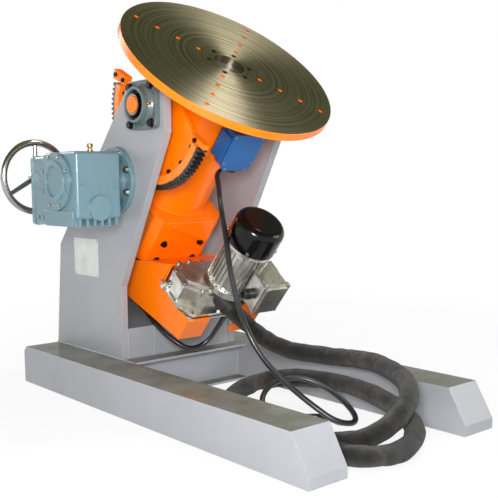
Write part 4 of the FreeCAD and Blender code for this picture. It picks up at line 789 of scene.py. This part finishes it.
made, tree, shader = new_finish("sector_finish", Specular_IOR_Level=0.5, Coat_Weight=0.3,
                                Coat_Roughness=0.15)
reach = maths(tree, "ADD", from_axis(tree), maths(tree, "MULTIPLY", grain(tree, 60, 4), 0.008))
grease = spread(tree, reach, 0.2385, 0.2425)
soft = effect(tree, SOFT_EDGE, Radius=0.001, Wear=0.5)
skin = effect(tree, FINE_SKIN, Scale=110.0, Depth=0.0008, Normal=soft["Normal"])
tree.links.new(blend_colour(tree, grease, rgb(255, 128, 8), rgb(26, 24, 21)),
               shader.inputs["Base Color"])
tree.links.new(spread(tree, skin["Mask"], 0.3, 0.7, 0.22, 0.5), shader.inputs["Roughness"])
tree.links.new(skin["Normal"], shader.inputs["Normal"])
SECTOR_FINISH = made

made, tree, shader = new_finish("insert_finish")
seal = spread(tree, from_axis(tree), 0.0305, 0.0311)
soft = effect(tree, SOFT_EDGE, Radius=0.001, Wear=0.3)
tree.links.new(blend_colour(tree, seal, rgb(150, 148, 142), rgb(12, 12, 12)),
               shader.inputs["Base Color"])
tree.links.new(maths(tree, "SUBTRACT", 1.0, seal), shader.inputs["Metallic"])
tree.links.new(spread(tree, grain(tree, 300, 2), 0.3, 0.7, 0.2, 0.34), shader.inputs["Roughness"])
tree.links.new(soft["Normal"], shader.inputs["Normal"])
INSERT_FINISH = made

made, tree, shader = new_finish("plate_finish", Metallic=0.15, Specular_IOR_Level=0.4)
tone = effect(tree, UNEVEN_TONE, Scale=14.0, Contrast=0.8)
soft = effect(tree, SOFT_EDGE, Radius=0.0008, Wear=0.5)
colours = blend_colour(tree, tone["Mask"], rgb(214, 216, 214), rgb(188, 190, 186))
tree.links.new(blend_colour(tree, soft["Mask"], colours, rgb(120, 120, 116)),
               shader.inputs["Base Color"])
tree.links.new(spread(tree, tone["Mask"], 0.0, 1.0, 0.34, 0.5), shader.inputs["Roughness"])
tree.links.new(soft["Normal"], shader.inputs["Normal"])
PLATE_FINISH = made
print("sector, insert and plate finished")

# %% [markdown]
# Each solid takes the finish of its material slot. Four of them look different from the rest of their
# slot, and have a finish of their own.

# %% Finishes on the solids
SPECIAL = {"table_plate": TABLE_FINISH, "tilt_sector_rim": SECTOR_FINISH,
           "bearing_inserts": INSERT_FINISH, "label_plate": PLATE_FINISH}
slot_of = {p["node"]: p["material_slot"] for p in frame["record"]["subparts"]}
for name, solid in nodes.items():
    solid.data.materials.clear()
    solid.data.materials.append(SPECIAL.get(name) or FINISH[slot_of[name]])
for obj, slot in ADDED:
    obj.data.materials.clear()
    obj.data.materials.append(FINISH[slot])
print(len(nodes), "solids and", len(ADDED), "pieces painted")

# %% [markdown]
# The floor is plain and pale and only catches the shadow. To the camera it is mostly its own white, so
# that the background stays white without any extra light on the machine; the rest of it is lit and
# shows the shadow. Its own white grows with distance, so that no edge of the floor shows.

# %% Floor and world
bm = bmesh.new()
bmesh.ops.create_circle(bm, cap_ends=True, radius=14, segments=96)
bmesh.ops.translate(bm, vec=(0, 0, -0.0008), verts=bm.verts[:])
floor_mesh = bpy.data.meshes.new("floor")
bm.to_mesh(floor_mesh)
bm.free()
floor = bpy.data.objects.new("floor", floor_mesh)
bpy.context.scene.collection.objects.link(floor)
made, tree, shader = new_finish("floor_white", Roughness=0.9, Base_Color=(0.9, 0.9, 0.9, 1),
                                Specular_IOR_Level=0.1)
seen = add(tree, "LightPath")
sight = maths(tree, "MAXIMUM", maths(tree, "MAXIMUM", seen.outputs["Is Camera Ray"],
                                     seen.outputs["Is Glossy Ray"]),
              seen.outputs["Is Transmission Ray"])
glow = add(tree, "Emission", {"Color": (1, 1, 1, 1), "Strength": 1.0})
far = spread(tree, add(tree, "VectorMath", {0: object_place(tree)},
                       operation="LENGTH").outputs["Value"], 0.9, 2.6)
own_white = maths(tree, "MULTIPLY", sight, spread(tree, far, 0.0, 1.0, 0.84, 1.0))
mixed = add(tree, "MixShader", {0: own_white, 1: shader.outputs[0], 2: glow.outputs[0]})
tree.links.new(mixed.outputs[0], tree.nodes["Material Output"].inputs["Surface"])
floor_mesh.materials.append(made)

world = bpy.data.worlds.new("studio")
bpy.context.scene.world = world
world.use_nodes = True
tree = world.node_tree
height = add(tree, "SeparateXYZ", {0: add(tree, "TexCoord").outputs["Generated"]}).outputs["Z"]
overhead = spread(tree, height, 0.14, 0.46)
seen = add(tree, "LightPath")
shiny = maths(tree, "MAXIMUM", seen.outputs["Is Glossy Ray"], seen.outputs["Is Transmission Ray"])
room = blend_colour(tree, overhead, (1, 1, 1, 1), (0.20, 0.22, 0.13, 1))
sky = blend_colour(tree, seen.outputs["Is Camera Ray"], room, (1, 1, 1, 1))
strength = spread(tree, maths(tree, "MAXIMUM", seen.outputs["Is Camera Ray"], shiny), 0, 1, 0.36, 1.0)
soft_fill = blend_colour(tree, maths(tree, "MAXIMUM", seen.outputs["Is Camera Ray"], shiny),
                         (1, 1, 1, 1), sky)
back = tree.nodes["Background"]
tree.links.new(soft_fill, back.inputs["Color"])
tree.links.new(strength, back.inputs["Strength"])
print("floor and world set")

# %% [markdown]
# The light is plain and soft: a large lamp close to the camera, as a flash with a diffuser would be, a
# weaker one overhead that draws the fan of light across the turned table, and two wide ones that open
# the shadows on the right and behind.

# %% Lamps
def lamp(name, at, target, size, watts):
    data = bpy.data.lights.new(name, "AREA")
    data.shape, data.size, data.energy = "DISK", size, watts
    obj = bpy.data.objects.new(name, data)
    bpy.context.scene.collection.objects.link(obj)
    turn = (Vector(target) - Vector(at)).to_track_quat("-Z", "Y")
    obj.matrix_world = Matrix.Translation(at) @ turn.to_matrix().to_4x4()
    print(name, watts, "W at", at)
    return obj


lamp("front_lamp", (-1.75, -2.15, 0.95), (0, -0.2, 0.55), 0.7, 72)
lamp("table_lamp", (0.88, -0.91, 2.96), tuple(TABLE_MIDDLE), 0.7, 26)
lamp("side_lamp", (2.4, -2.2, 1.5), (0, -0.3, 0.4), 1.4, 18)
lamp("back_lamp", (-0.6, 2.9, 1.6), (0, 0.1, 0.5), 1.6, 34)

bpy.context.scene.view_settings.view_transform = "Standard"
